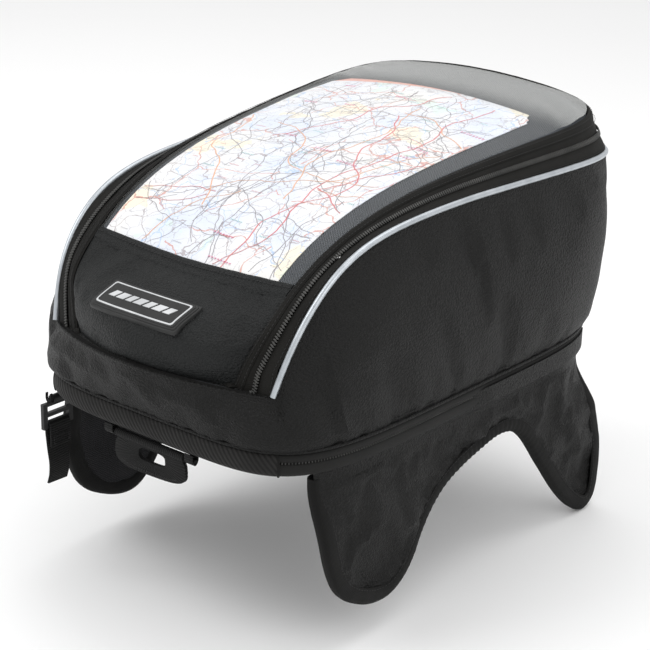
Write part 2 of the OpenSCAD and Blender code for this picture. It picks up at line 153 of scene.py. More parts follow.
def lid_point(u, v, drop=0):
    power = NOSE_POWER if v < 0 else RIM_POWER
    w = u * max(0, 1 - abs(v) ** power) ** (1 / power)
    y = span_y(v, NOSE_Y + 2, LID_BACK_Y) + nose_shift(w, v)
    x = (LID_W + LID_TAPER * y) * w
    roll = nose_roll(v)
    low = CREASE_Z + 0.6 - CREASE_DROOP * abs(w)
    return Vector((x, y + drop * (1 - roll), mix(low, lid_z(x, y) - drop, roll)))


def hem_point(phi):
    x, y = unit_box(phi, HEM_POWER)
    return Vector((HEM_W * x, HEM_L * y, BASE_H))


def rim_point(phi):
    qx, qy = unit_box(phi, RIM_POWER)
    y = span_y(qy, NOSE_Y, RIM_BACK_Y) + nose_shift(qx, qy)
    crease = CREASE_Z - CREASE_DROOP * abs(qx)
    z = crease if qy < -0.9 else max(crease, piping_z(y))
    return Vector(((RIM_W + RIM_TAPER * y) * qx, y, z))


def lid_edge_point(phi):
    qx, qy = unit_box(phi, NOSE_POWER if math.sin(math.radians(phi)) < 0 else RIM_POWER)
    y = span_y(qy, NOSE_Y + 2, LID_BACK_Y) + nose_shift(qx, qy)
    x = (LID_W + LID_TAPER * y) * qx
    low = CREASE_Z + 0.6 - CREASE_DROOP * abs(qx)
    return Vector((x, y, mix(low, lid_z(x, y), nose_roll(qy))))


def band_phi(s, k):
    """Angle at share s of the way round the band's U, on the piping (k = 0) or on the lid edge (k = 1)."""
    end = TRACK_END + EDGE_END * k
    return mix(-end, 180 + end, s)


def band_point(s, k):
    return rim_point(band_phi(s, 0)).lerp(lid_edge_point(band_phi(s, 1)), k)


def hem_x(y):
    return HEM_W * max(0.0, 1 - abs(y / HEM_L) ** HEM_POWER) ** (1 / HEM_POWER)


def flat_out(phi):
    c, s = math.cos(math.radians(phi)), 1.1 * math.sin(math.radians(phi))
    return Vector((c, s, 0)).normalized()


def wall_point(phi, u, inset=0):
    front = 0.3 if math.sin(math.radians(phi)) < -0.6 else 1
    swell = WALL_SWELL * math.sin(math.pi * u ** 0.8) * front
    return hem_point(phi).lerp(rim_point(phi), u) + flat_out(phi) * (swell - inset)


def length_share(y):
    return (2 * y - NOSE_Y - 2 - LID_BACK_Y) / (LID_BACK_Y - NOSE_Y - 2)


SEAM_V = length_share(SEAM_Y)


def wander(p, size, seed=0.0):
    """Smooth noise from -1 to 1 at a point in millimetres, with features of about that size."""
    return noise.noise(Vector((p[0] + seed, p[1], p[2])) / size)


# ------------------------------------------------------------------ mesh building
def new_object(name, verts, faces, uvs=None, crisp=35):
    mesh = bpy.data.meshes.new(name)
    mesh.from_pydata([Vector(v) * MM for v in verts], [], faces)
    if uvs is not None:
        layer = mesh.uv_layers.new(name="lengths")
        flat = [c for face in uvs for uv in face for c in uv]
        layer.data.foreach_set("uv", flat)
    work = bmesh.new()
    work.from_mesh(mesh)
    bmesh.ops.recalc_face_normals(work, faces=work.faces)
    work.to_mesh(mesh)
    work.free()
    mesh.shade_smooth()
    mesh.set_sharp_from_angle(angle=math.radians(crisp))
    obj = bpy.data.objects.new(name, mesh)
    bpy.context.scene.collection.objects.link(obj)
    return obj


def grid_of(rows, cols, point, wrap=False):
    """Points, rows by cols, from point(i share, j share); a wrapped grid doesn't repeat its first column."""
    last = cols if wrap else cols - 1
    return np.array([[point(i / (rows - 1), j / last) for j in range(cols)] for i in range(rows)], float)


def grid_normals(g, wrap):
    up = np.gradient(g, axis=0)
    along = (np.roll(g, -1, 1) - np.roll(g, 1, 1)) / 2 if wrap else np.gradient(g, axis=1)
    n = np.cross(along, up)
    return n / np.maximum(np.linalg.norm(n, axis=2, keepdims=True), 1e-9)


def grid_lengths(g, wrap):
    """Arc lengths in metres along the middle row and up the middle column."""
    row = g[len(g) // 2]
    if wrap:
        row = np.vstack([row, row[:1]])
    col = g[:, g.shape[1] // 2]
    s = np.concatenate([[0], np.cumsum(np.linalg.norm(np.diff(row, axis=0), axis=1))])
    t = np.concatenate([[0], np.cumsum(np.linalg.norm(np.diff(col, axis=0), axis=1))])
    return s * MM, t * MM


def shell(name, outer, thick, wrap=False, inner=None, crisp=35):
    """Closed sheet: the outer grid, the same grid set in by its thickness, and the rims between them."""
    if inner is None:
        inner = outer - grid_normals(outer, wrap) * thick
    rows, cols = outer.shape[:2]
    verts = list(outer.reshape(-1, 3)) + list(inner.reshape(-1, 3))
    s, t = grid_lengths(outer, wrap)
    faces, uvs = [], []

    def at(side, i, j):
        return side * rows * cols + i * cols + j % cols

    def add(corners):
        faces.append([at(*c) for c in corners])
        uvs.append([(s[c[2]], t[c[1]] + 0.001 * c[0]) for c in corners])

    last = cols if wrap else cols - 1
    for i in range(rows - 1):
        for j in range(last):
            add([(0, i, j), (0, i, j + 1), (0, i + 1, j + 1), (0, i + 1, j)])
            add([(1, i, j), (1, i + 1, j), (1, i + 1, j + 1), (1, i, j + 1)])
    for j in range(last):
        add([(0, 0, j), (1, 0, j), (1, 0, j + 1), (0, 0, j + 1)])
        add([(0, rows - 1, j), (0, rows - 1, j + 1), (1, rows - 1, j + 1), (1, rows - 1, j)])
    if not wrap:
        for i in range(rows - 1):
            add([(0, i, 0), (0, i + 1, 0), (1, i + 1, 0), (1, i, 0)])
            add([(0, i, last), (1, i, last), (1, i + 1, last), (0, i + 1, last)])
    return new_object(name, verts, faces, uvs, crisp)


def frames_along(path, up, closed):
    """Unit tangent, side and up at each point of a path; up is one vector or one for each point."""
    p = np.array(path, float)
    t = np.roll(p, -1, 0) - np.roll(p, 1, 0) if closed else np.gradient(p, axis=0)
    t /= np.linalg.norm(t, axis=1, keepdims=True)
    u = np.broadcast_to(np.array(up, float), p.shape)
    side = np.cross(t, u)
    side /= np.linalg.norm(side, axis=1, keepdims=True)
    return p, t, side, np.cross(side, t)


def sweep(name, path, up, profile, closed=False, crisp=50):
    """Sweeps a closed profile of (side, up) points along a path; profile may be a function of the index."""
    p, _, side, raised = frames_along(path, up, closed)
    count = len(p)
    rings = []
    for i in range(count):
        section = profile(i) if callable(profile) else profile
        rings.append([p[i] + a * side[i] + b * raised[i] for a, b in section])
    around = len(rings[0])
    verts = [v for ring in rings for v in ring]
    step = np.linalg.norm(np.diff(np.vstack([p, p[:1]]) if closed else p, axis=0), axis=1)
    s = np.concatenate([[0], np.cumsum(step)]) * MM
    loop = np.array(rings[count // 2] + rings[count // 2][:1])
    r = np.concatenate([[0], np.cumsum(np.linalg.norm(np.diff(loop, axis=0), axis=1))]) * MM
    faces, uvs = [], []
    for i in range(count if closed else count - 1):
        for j in range(around):
            k, n = (i + 1) % count, (j + 1) % around
            faces.append([i * around + j, k * around + j, k * around + n, i * around + n])
            uvs.append([(s[i], r[j]), (s[i + 1], r[j]), (s[i + 1], r[j + 1]), (s[i], r[j + 1])])
    if not closed:
        for end in (0, count - 1):
            faces.append([end * around + j for j in range(around)])
            uvs.append([(s[end], r[j]) for j in range(around)])
    return new_object(name, verts, faces, uvs, crisp)


def circle(radius, sides, centre=(0, 0)):
    return [(centre[0] + radius * math.cos(math.tau * k / sides),
             centre[1] + radius * math.sin(math.tau * k / sides))
            for k in range(sides)]


def rounded_box(w, h, r, steps=3):
    """Closed profile of a flat strip of width w and thickness h, with rounded edges."""
    points = []
    for cx, cy, start in ((w / 2 - r, h / 2 - r, 0), (-w / 2 + r, h / 2 - r, 90),
                          (-w / 2 + r, -h / 2 + r, 180), (w / 2 - r, -h / 2 + r, 270)):
        for k in range(steps + 1):
            a = math.radians(start + 90 * k / steps)
            points.append((cx + r * math.cos(a), cy + r * math.sin(a)))
    return points


def resampled(path, pitch, closed=False):
    """Points at even pitch along a path, and the share of the way that each stands at."""
    p = np.array(path, float)
    if closed:
        p = np.vstack([p, p[:1]])
    s = np.concatenate([[0], np.cumsum(np.linalg.norm(np.diff(p, axis=0), axis=1))])
    count = max(2, int(round(s[-1] / pitch)))
    at = np.linspace(0, s[-1], count + 1)
    if closed:
        at = at[:-1]
    return np.stack([np.interp(at, s, p[:, k]) for k in range(3)], axis=1)


def beads(name, centres, along, up, length, radius, sides=6, flat=1.0):
    """One capsule at each centre, pointing along its own direction: stitches, zip teeth, printed marks."""
    shape = ((-0.5, 0.35), (-0.42, 0.85), (0.0, 1.0), (0.42, 0.85), (0.5, 0.35))
    verts, faces, uvs = [], [], []
    along = np.broadcast_to(np.array(along, float), centres.shape)
    up = np.broadcast_to(np.array(up, float), centres.shape)
    for c, d, u in zip(centres, along, up):
        d = d / np.linalg.norm(d)
        side = np.cross(d, u)
        side /= np.linalg.norm(side)
        high = np.cross(side, d)
        first = len(verts)
        for place, fat in shape:
            for k in range(sides):
                a = math.tau * k / sides
                verts.append(c + d * place * length
                             + radius * fat * (math.cos(a) * side + flat * math.sin(a) * high))
        for i in range(len(shape) - 1):
            for k in range(sides):
                n = (k + 1) % sides
                faces.append([first + i * sides + k, first + i * sides + n,
                              first + (i + 1) * sides + n, first + (i + 1) * sides + k])
        for i in (0, len(shape) - 1):
            faces.append([first + i * sides + k for k in range(sides)])
    for f in faces:
        uvs.append([(0.0, 0.0)] * len(f))
    return new_object(name, verts, faces, uvs, crisp=60)


def spline(points, steps, closed=False):
    """Smooth curve through its points."""
    p = [Vector(q) for q in points]
    n = len(p)
    out = []
    for i in range(n if closed else n - 1):
        if closed:
            a, b, c, d = p[i - 1], p[i], p[(i + 1) % n], p[(i + 2) % n]
        else:
            a, b, c, d = p[max(0, i - 1)], p[i], p[i + 1], p[min(n - 1, i + 2)]
        for k in range(steps):
            t = k / steps
            out.append(0.5 * ((2 * b) + (c - a) * t + (2 * a - 5 * b + 4 * c - d) * t * t
                              + (3 * b - a - 3 * c + d) * t * t * t))
    if not closed:
        out.append(p[-1])
    return out


def distance_to(outline, points):
    """Distance of each 2-D point to a closed outline."""
    a = np.array([(q[0], q[1]) for q in outline], float)
    b = np.roll(a, -1, 0)
    best = np.full(len(points), 1e9)
    for p, q in zip(a, b):
        d = q - p
        t = np.clip(((points - p) @ d) / max(d @ d, 1e-9), 0, 1)
        best = np.minimum(best, np.linalg.norm(points - (p + t[:, None] * d), axis=1))
    return best


def inside(outline, q):
    hit = False
    for a, b in zip(outline, outline[1:] + outline[:1]):
        if (a[1] > q[1]) != (b[1] > q[1]) and q[0] < (b[0] - a[0]) * (q[1] - a[1]) / (b[1] - a[1]) + a[0]:
            hit = not hit
    return hit


def filled(outline, spacing):
    """Even triangles in a closed 2-D outline: points, triangles, distance of each point to the outline."""
    outline = [(q[0], q[1]) for q in outline]
    xs, ys = [q[0] for q in outline], [q[1] for q in outline]
    lattice = []
    rows = int((max(ys) - min(ys)) / (spacing * 0.866)) + 1
    for r in range(rows):
        y = min(ys) + r * spacing * 0.866
        x = min(xs) + (r % 2) * spacing / 2
        while x < max(xs):
            if inside(outline, (x, y)):
                lattice.append((x, y))
            x += spacing
    room = distance_to(outline, np.array(lattice))
    lattice = [q for q, d in zip(lattice, room) if d > 0.55 * spacing]
    every = outline + lattice
    n = len(outline)
    points, _, tris, _, _, _ = geometry.delaunay_2d_cdt(
        [Vector(q) for q in every], [], [list(range(n))], 1, 1e-5)
    flat = np.array([(p.x, p.y) for p in points])
    return flat, [list(t) for t in tris], distance_to(outline, flat)


def plate(name, fill, top, bottom):
    """Closed plate over a filled outline: top and bottom give a point's place from (a, b, edge distance)."""
    flat, tris, room = fill
    count = len(flat)
    verts = [top(p[0], p[1], d) for p, d in zip(flat, room)]
    verts += [bottom(p[0], p[1], d) for p, d in zip(flat, room)]
    faces = [list(t) for t in tris] + [[v + count for v in reversed(t)] for t in tris]
    edges = {}
    for t in tris:
        for a, b in zip(t, t[1:] + t[:1]):
            edges[(a, b)] = True
    for a, b in list(edges):
        if (b, a) not in edges:
            faces.append([b, a, a + count, b + count])
    uvs = [[(flat[v % count][0] * MM, flat[v % count][1] * MM) for v in f] for f in faces]
    return new_object(name, verts, faces, uvs)


def cloth(verts, faces, pinned, pressure, cap, frames=20, slack=0.0):
    """Settles a sheet as cloth under air pressure, with some points pinned and no point moving past cap."""
    start = np.array(verts, float)
    obj = new_object("settling_sheet", verts, faces)
    group = obj.vertex_groups.new(name="pin")
    group.add([int(i) for i in pinned], 1.0, "REPLACE")
    mod = obj.modifiers.new("Cloth", "CLOTH")
    rules = mod.settings
    rules.vertex_group_mass = "pin"
    rules.use_pressure = True
    rules.uniform_pressure_force = pressure
    rules.effector_weights.gravity = 0
    rules.quality = 6
    rules.mass = 0.3
    rules.tension_stiffness = 15
    rules.compression_stiffness = 10
    rules.bending_stiffness = 1.5
    rules.shrink_min = -slack
    mod.point_cache.frame_start = 1
    mod.point_cache.frame_end = frames
    scene = bpy.context.scene
    for f in range(1, frames + 1):
        scene.frame_set(f)
    done = obj.evaluated_get(bpy.context.evaluated_depsgraph_get())
    found = np.zeros(len(start) * 3)
    done.data.vertices.foreach_get("co", found)
    moved = found.reshape(-1, 3) / MM - start
    far = np.linalg.norm(moved, axis=1, keepdims=True)
    moved *= np.minimum(1, cap / np.maximum(far, 1e-9))
    data = obj.data
    bpy.data.objects.remove(obj)
    bpy.data.meshes.remove(data)
    scene.frame_set(1)
    return start + moved


def cloth_grid(g, wrap, pinned, pressure, cap, slack=0.0):
    """The same for a grid; pinned(i, j) says which of its points are sewn down."""
    rows, cols = g.shape[:2]
    last = cols if wrap else cols - 1
    faces = [[i * cols + j, i * cols + (j + 1) % cols, (i + 1) * cols + (j + 1) % cols, (i + 1) * cols + j]
             for i in range(rows - 1) for j in range(last)]
    held = [i * cols + j for i in range(rows) for j in range(cols) if pinned(i, j)]
    return cloth(g.reshape(-1, 3), faces, held, pressure, cap, slack=slack).reshape(g.shape)


# ------------------------------------------------------------------ materials
class Paint:
    """A node material being built: short calls for the nodes that the finishes share."""

    def __init__(self, name, roughness=0.6, sheen=0.0, metallic=0.0, specular=0.5, coat=0.0):
        self.material = bpy.data.materials.new(name)
        self.material.use_nodes = True
        self.tree = self.material.node_tree
        self.shader = self.tree.nodes["Principled BSDF"]
        self.set("Roughness", roughness)
        self.set("Metallic", metallic)
        self.set("Specular IOR Level", specular)
        self.set("Sheen Weight", sheen)
        self.set("Sheen Roughness", 0.5)
        self.set("Coat Weight", coat)

    def set(self, socket, value):
        self.shader.inputs[socket].default_value = value

    def node(self, kind, **settings):
        made = self.tree.nodes.new(kind)
        for key, value in settings.items():
            setattr(made, key, value)
        return made

    def link(self, a, b):
        self.tree.links.new(a, b)

    def feed(self, node, socket, value):
        if isinstance(value, bpy.types.NodeSocket):
            self.link(value, node.inputs[socket])
        else:
            node.inputs[socket].default_value = value

    def place(self, kind="Object"):
        return self.node("ShaderNodeTexCoord").outputs[kind]

    def mapped(self, vector, scale=(1, 1, 1), turn=(0, 0, 0)):
        made = self.node("ShaderNodeMapping")
        self.link(vector, made.inputs["Vector"])
        made.inputs["Scale"].default_value = scale
        made.inputs["Rotation"].default_value = turn
        return made.outputs["Vector"]

    def noise(self, vector, scale, detail=3.0, distortion=0.0):
        made = self.node("ShaderNodeTexNoise")
        self.link(vector, made.inputs["Vector"])
        made.inputs["Scale"].default_value = scale
        made.inputs["Detail"].default_value = detail
        made.inputs["Distortion"].default_value = distortion
        return made.outputs["Fac"]

    def cells(self, vector, scale, feature="F1"):
        made = self.node("ShaderNodeTexVoronoi", feature=feature)
        self.link(vector, made.inputs["Vector"])
        made.inputs["Scale"].default_value = scale
        return made.outputs["Distance"]

    def math(self, operation, a, b=0.0, clamp=False):
        made = self.node("ShaderNodeMath", operation=operation, use_clamp=clamp)
        self.feed(made, 0, a)
        self.feed(made, 1, b)
        return made.outputs[0]

    def axes(self, vector):
        made = self.node("ShaderNodeSeparateXYZ")
        self.link(vector, made.inputs[0])
        return made.outputs

    def ramp(self, value, stops):
        made = self.node("ShaderNodeValToRGB")
        self.link(value, made.inputs[0])
        band = made.color_ramp
        while len(band.elements) < len(stops):
            band.elements.new(0.5)
        for element, (place, colour) in zip(band.elements, stops):
            element.position = place
            element.color = (*colour, 1)
        return made.outputs["Color"]

    def blend(self, share, a, b, kind="MIX"):
        made = self.node("ShaderNodeMix", data_type="RGBA", blend_type=kind)
        self.feed(made, 0, share)
        self.feed(made, 6, (*a, 1) if isinstance(a, tuple) else a)
        self.feed(made, 7, (*b, 1) if isinstance(b, tuple) else b)
        return made.outputs[2]

    def range(self, value, low, high):
        made = self.node("ShaderNodeMapRange")
        self.link(value, made.inputs["Value"])
        made.inputs["To Min"].default_value = low
        made.inputs["To Max"].default_value = high
        return made.outputs["Result"]

    def waves(self, axis, pitch):
        """A smooth rise and fall from 0 to 1 along one coordinate, at that pitch in metres."""
        turn = self.math("SINE", self.math("MULTIPLY", axis, math.tau / pitch))
        return self.math("ADD", self.math("MULTIPLY", turn, 0.5), 0.5)

    def colour(self, value):
        self.link(value, self.shader.inputs["Base Color"])

    def rough(self, value):
        self.link(value, self.shader.inputs["Roughness"])

    def bump(self, height, depth, strength=1.0, under=None):
        made = self.node("ShaderNodeBump")
        made.inputs["Strength"].default_value = strength
        made.inputs["Distance"].default_value = depth
        self.link(height, made.inputs["Height"])
        if under is not None:
            self.link(under, made.inputs["Normal"])
        self.link(made.outputs["Normal"], self.shader.inputs["Normal"])
        return made.outputs["Normal"]


def leather_paint(name, dark, light, roughness=0.5, grain=1.0):
    m = Paint(name, roughness=roughness, sheen=0.0, specular=0.2)
    at = m.place()
    broad = m.noise(at, 14, 4)
    pebble = m.cells(at, 620)
    fine = m.noise(at, 1500, 2)
    tone = m.ramp(broad, [(0.3, dark), (0.7, light)])
    worn = m.range(m.noise(at, 210, 5, 0.4), 0.0, 0.55)
    m.colour(m.blend(m.math("MULTIPLY", worn, 0.3), tone, tuple(c * 1.8 for c in light)))
    m.rough(m.range(m.math("ADD", m.math("MULTIPLY", pebble, 0.6), m.math("MULTIPLY", broad, 0.5)),
                    roughness - 0.1, roughness + 0.22))
    creases = m.bump(m.noise(at, 60, 6, 0.8), 0.0011 * grain, 0.35)
    m.bump(m.math("ADD", pebble, m.math("MULTIPLY", fine, 0.5)), 0.0009 * grain, 1.0, creases)
    return m.material


def weave_paint(name, dark, light, pitch=0.9, roughness=0.8, depth=0.00018, turn=0.0, sheen=0.02):
    """Plain weave over a piece's own lengths: warp and weft cross at that pitch in millimetres."""
    m = Paint(name, roughness=roughness, sheen=sheen, specular=0.16)
    at = m.mapped(m.place("UV"), turn=(0, 0, turn))
    u, v = m.axes(at)[0], m.axes(at)[1]
    warp = m.waves(u, pitch * MM)
    weft = m.waves(v, pitch * MM)
    knots = m.math("MULTIPLY", warp, weft)
    stain = m.noise(m.place(), 35, 4)
    tone = m.ramp(stain, [(0.3, dark), (0.75, light)])
    m.colour(m.blend(m.math("MULTIPLY", m.math("POWER", knots, 3.0), 0.5), tone,
                     tuple(c * 2.6 for c in light)))
    m.rough(m.range(knots, roughness - 0.12, roughness + 0.1))
    m.bump(m.math("ADD", warp, weft), depth, 0.9)
    return m.material


def ribbed_paint(name, dark, light, pitch, turn, roughness=0.72, depth=0.0004):
    """Ribs that run at an angle over a piece's own lengths, crossed by a finer thread."""
    m = Paint(name, roughness=roughness, sheen=0.02, specular=0.2)
    at = m.mapped(m.place("UV"), turn=(0, 0, turn))
    u, v = m.axes(at)[0], m.axes(at)[1]
    rib = m.waves(u, pitch * MM)
    thread = m.waves(v, 0.7 * MM)
    stain = m.noise(m.place(), 30, 4)
    tone = m.ramp(stain, [(0.3, dark), (0.75, light)])
    m.colour(m.blend(m.math("MULTIPLY", rib, 0.7), tuple(c * 0.45 for c in dark), tone))
    m.rough(m.range(thread, roughness - 0.1, roughness + 0.12))
    m.bump(m.math("ADD", rib, m.math("MULTIPLY", thread, 0.25)), depth, 0.9)
    return m.material


def silver_paint():
    m = Paint("silver_piping", roughness=0.3, metallic=0.75, specular=0.5, coat=0.1)
    at = m.place()
    bead = m.cells(at, 1500)
    scuff = m.noise(at, 90, 5, 0.5)
    m.colour(m.ramp(scuff, [(0.3, (0.40, 0.43, 0.46)), (0.7, (0.50, 0.53, 0.56))]))
    m.rough(m.range(scuff, 0.26, 0.46))
    m.bump(bead, 0.00012, 0.5)
    return m.material


def moulded_paint(name, dark, light, roughness=0.5):
    m = Paint(name, roughness=roughness, specular=0.35)
    at = m.place()
    m.colour(m.ramp(m.noise(at, 60, 4), [(0.3, dark), (0.7, light)]))
    m.rough(m.range(m.noise(at, 300, 4), roughness - 0.08, roughness + 0.14))
    m.bump(m.noise(at, 2200, 3), 0.00008, 0.5)
    return m.material


def map_paint(turned):
    """Printed paper: a web of minor roads, pale tints of land, and a coloured strip along the far edge."""
    m = Paint("map_print", roughness=0.5, specular=0.4)
    at = m.place()
    warp = m.node("ShaderNodeVectorMath", operation="ADD")
    bend = m.node("ShaderNodeTexNoise")
    m.link(at, bend.inputs["Vector"])
    bend.inputs["Scale"].default_value = 45
    bend.inputs["Detail"].default_value = 4
    sized = m.node("ShaderNodeVectorMath", operation="SCALE")
    m.link(bend.outputs["Color"], sized.inputs[0])
    sized.inputs["Scale"].default_value = 0.022
    m.link(at, warp.inputs[0])
    m.link(sized.outputs[0], warp.inputs[1])
    bent = warp.outputs[0]
    land = m.ramp(m.noise(at, 16, 3),
                  [(0.36, (0.68, 0.73, 0.83)), (0.5, (0.77, 0.78, 0.81)), (0.66, (0.80, 0.79, 0.77))])
    town = m.math("GREATER_THAN", m.noise(bent, 17, 2), 0.62)
    land = m.blend(m.math("MULTIPLY", town, 0.55), land, (0.93, 0.82, 0.55))
    wood = m.math("GREATER_THAN", m.noise(m.mapped(bent, turn=(0, 0, 1.1)), 24, 2), 0.66)
    land = m.blend(m.math("MULTIPLY", wood, 0.4), land, (0.62, 0.82, 0.66))
    for scale, width, share, ink in ((88, 0.020, 0.55, (0.40, 0.38, 0.42)),
                                     (41, 0.014, 0.7, (0.33, 0.27, 0.28)),
                                     (27, 0.008, 0.6, (0.32, 0.50, 0.80)),
                                     (17, 0.008, 0.75, (0.62, 0.26, 0.20))):
        line = m.math("LESS_THAN", m.cells(bent, scale, "DISTANCE_TO_EDGE"), width)
        gaps = m.math("GREATER_THAN", m.noise(at, scale * 0.9, 2), 0.42)
        land = m.blend(m.math("MULTIPLY", m.math("MULTIPLY", line, gaps), share), land, ink)
    far = m.axes(m.mapped(at, turn=(0, 0, turned)))[1]
    edge = m.math("GREATER_THAN", far, 0.1262)
    m.colour(m.blend(m.math("MULTIPLY", edge, 0.75), land, (0.85, 0.33, 0.22)))
    m.rough(m.range(m.noise(at, 400, 3), 0.42, 0.6))
    m.bump(m.noise(at, 22, 3), 0.0012, 0.25)
    return m.material


def ink_paint(name, colour):
    m = Paint(name, roughness=0.55, specular=0.3)
    fade = m.noise(m.place(), 240, 3)
    m.colour(m.blend(m.range(fade, 0.0, 0.3), colour, (0.8, 0.8, 0.82)))
    return m.material


def vinyl_paint():
    """Clear flexible vinyl: almost unseen head on, hazy where it is seen at a low angle; over its rear strip
    it is painted more opaque grey, a painted reflection of the haze where the sheet tilts away.
    """
    m = Paint("clear_vinyl", roughness=0.1, specular=0.8)
    at = m.place()
    m.set("Base Color", (0.50, 0.51, 0.50, 1))
    facing = m.node("ShaderNodeLayerWeight")
    facing.inputs["Blend"].default_value = 0.35
    slant = m.range(m.math("POWER", facing.outputs["Facing"], 3.6), 0.03, 0.4)
    # painted reflection: towards the rear, past 112 mm, the sheet turns more opaque grey, standing in for the
    # haze where the tilted rear reflects the light
    behind = m.node("ShaderNodeMapRange", interpolation_type="SMOOTHSTEP")
    m.link(m.axes(at)[1], behind.inputs["Value"])
    for socket, value in (("From Min", 0.112), ("From Max", 0.15), ("To Min", 0.0), ("To Max", 0.3)):
        behind.inputs[socket].default_value = value
    m.link(m.math("ADD", slant, behind.outputs["Result"]), m.shader.inputs["Alpha"])
    m.rough(m.range(m.noise(at, 30, 4), 0.06, 0.2))
    m.bump(m.noise(at, 26, 3, 0.5), 0.0016, 0.4)
    return m.material


PAINTS = {
    # leather and panel are lit and shaded copies of one leathercloth: the panel's lighter tone is painted
    # light where it faces the lamps, and the darker copy on the walls and flaps is painted shade
    "leather": leather_paint("black_leathercloth", (0.0022, 0.0022, 0.0020), (0.0050, 0.0050, 0.0047), 0.42),
    "panel": leather_paint("leathercloth_painted_lit", (0.0065, 0.0071, 0.0071), (0.0120, 0.0130, 0.0131), 0.46,
                           1.1),
    "tape": weave_paint("black_tape", (0.0060, 0.0057, 0.0050), (0.0100, 0.0095, 0.0082), 1.3),
    "binding": weave_paint("binding_tape", (0.0040, 0.0040, 0.0038), (0.0075, 0.0073, 0.0068), 0.9, 0.86),
    "ribs": ribbed_paint("ribbed_band", (0.0120, 0.0116, 0.0110), (0.0300, 0.0290, 0.0275), 3.0,
                         math.radians(38)),
    "band": weave_paint("smooth_band", (0.0060, 0.0060, 0.0057), (0.0105, 0.0102, 0.0095), 0.8, 0.7, 0.0001),
    "webbing": ribbed_paint("black_webbing", (0.0055, 0.0055, 0.0055), (0.0110, 0.0110, 0.0108), 1.7, 0.0),
    "backing": ribbed_paint("ribbed_backing", (0.055, 0.063, 0.075), (0.09, 0.1, 0.115), 1.6,
                            math.radians(-50), 0.6, 0.0003),
    "lining": weave_paint("lining_cloth", (0.045, 0.048, 0.055), (0.075, 0.08, 0.09), 0.7, 0.75, 0.0001),
    "grip": weave_paint("grip_cloth", (0.012, 0.012, 0.013), (0.022, 0.022, 0.024), 1.6, 0.9, 0.0004),
    "foam": leather_paint("foam_skin", (0.07, 0.07, 0.075), (0.1, 0.1, 0.105), 0.85, 0.5),
    "board": moulded_paint("base_board", (0.03, 0.03, 0.032), (0.045, 0.045, 0.048), 0.6),
    "moulded": moulded_paint("moulded_black", (0.006, 0.006, 0.006), (0.012, 0.012, 0.012), 0.42),
    "teeth": moulded_paint("zip_teeth", (0.030, 0.030, 0.029), (0.065, 0.064, 0.060), 0.32),
    "thread": moulded_paint("black_thread", (0.008, 0.008, 0.0082), (0.018, 0.018, 0.0185), 0.6),
    "badge": moulded_paint("badge_rubber", (0.010, 0.0102, 0.0100), (0.018, 0.0185, 0.018), 0.55),
    "print": moulded_paint("silver_print", (0.46, 0.47, 0.48), (0.62, 0.63, 0.64), 0.42),
    "steel": moulded_paint("magnet_steel", (0.35, 0.35, 0.36), (0.5, 0.5, 0.51), 0.3),
    "silver": silver_paint(),
    "map": map_paint(math.radians(-3.1)),
    "vinyl": vinyl_paint(),
    "red": ink_paint("ink_red", (0.62, 0.11, 0.12)),
    "orange": ink_paint("ink_orange", (0.72, 0.34, 0.16)),
    "grey": ink_paint("ink_grey", (0.22, 0.2, 0.22)),
    "teal": ink_paint("ink_teal", (0.13, 0.5, 0.45)),
    "magenta": ink_paint("ink_magenta", (0.72, 0.12, 0.3)),
}


def dress(obj, paint, body, stands_for=()):
    """Gives a new piece its finish, its body and the CAD nodes that it stands for."""
    obj.data.materials.clear()
    obj.data.materials.append(PAINTS[paint])
    if body:
        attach(obj, body)
    for name in ([stands_for] if isinstance(stands_for, str) else stands_for):
        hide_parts(name)
    return obj


def keep(node, paint, bevel=0.0):
    """A CAD node that stays: a better finish and, on a hard part, softly broken edges."""
    obj = nodes[node]
    obj.data.materials.clear()
    obj.data.materials.append(PAINTS[paint])
    if bevel:
        mod = obj.modifiers.new("broken_edges", "BEVEL")
        mod.width = bevel * MM
        mod.segments = 3
        mod.limit_method = "ANGLE"
        mod.angle_limit = math.radians(50)


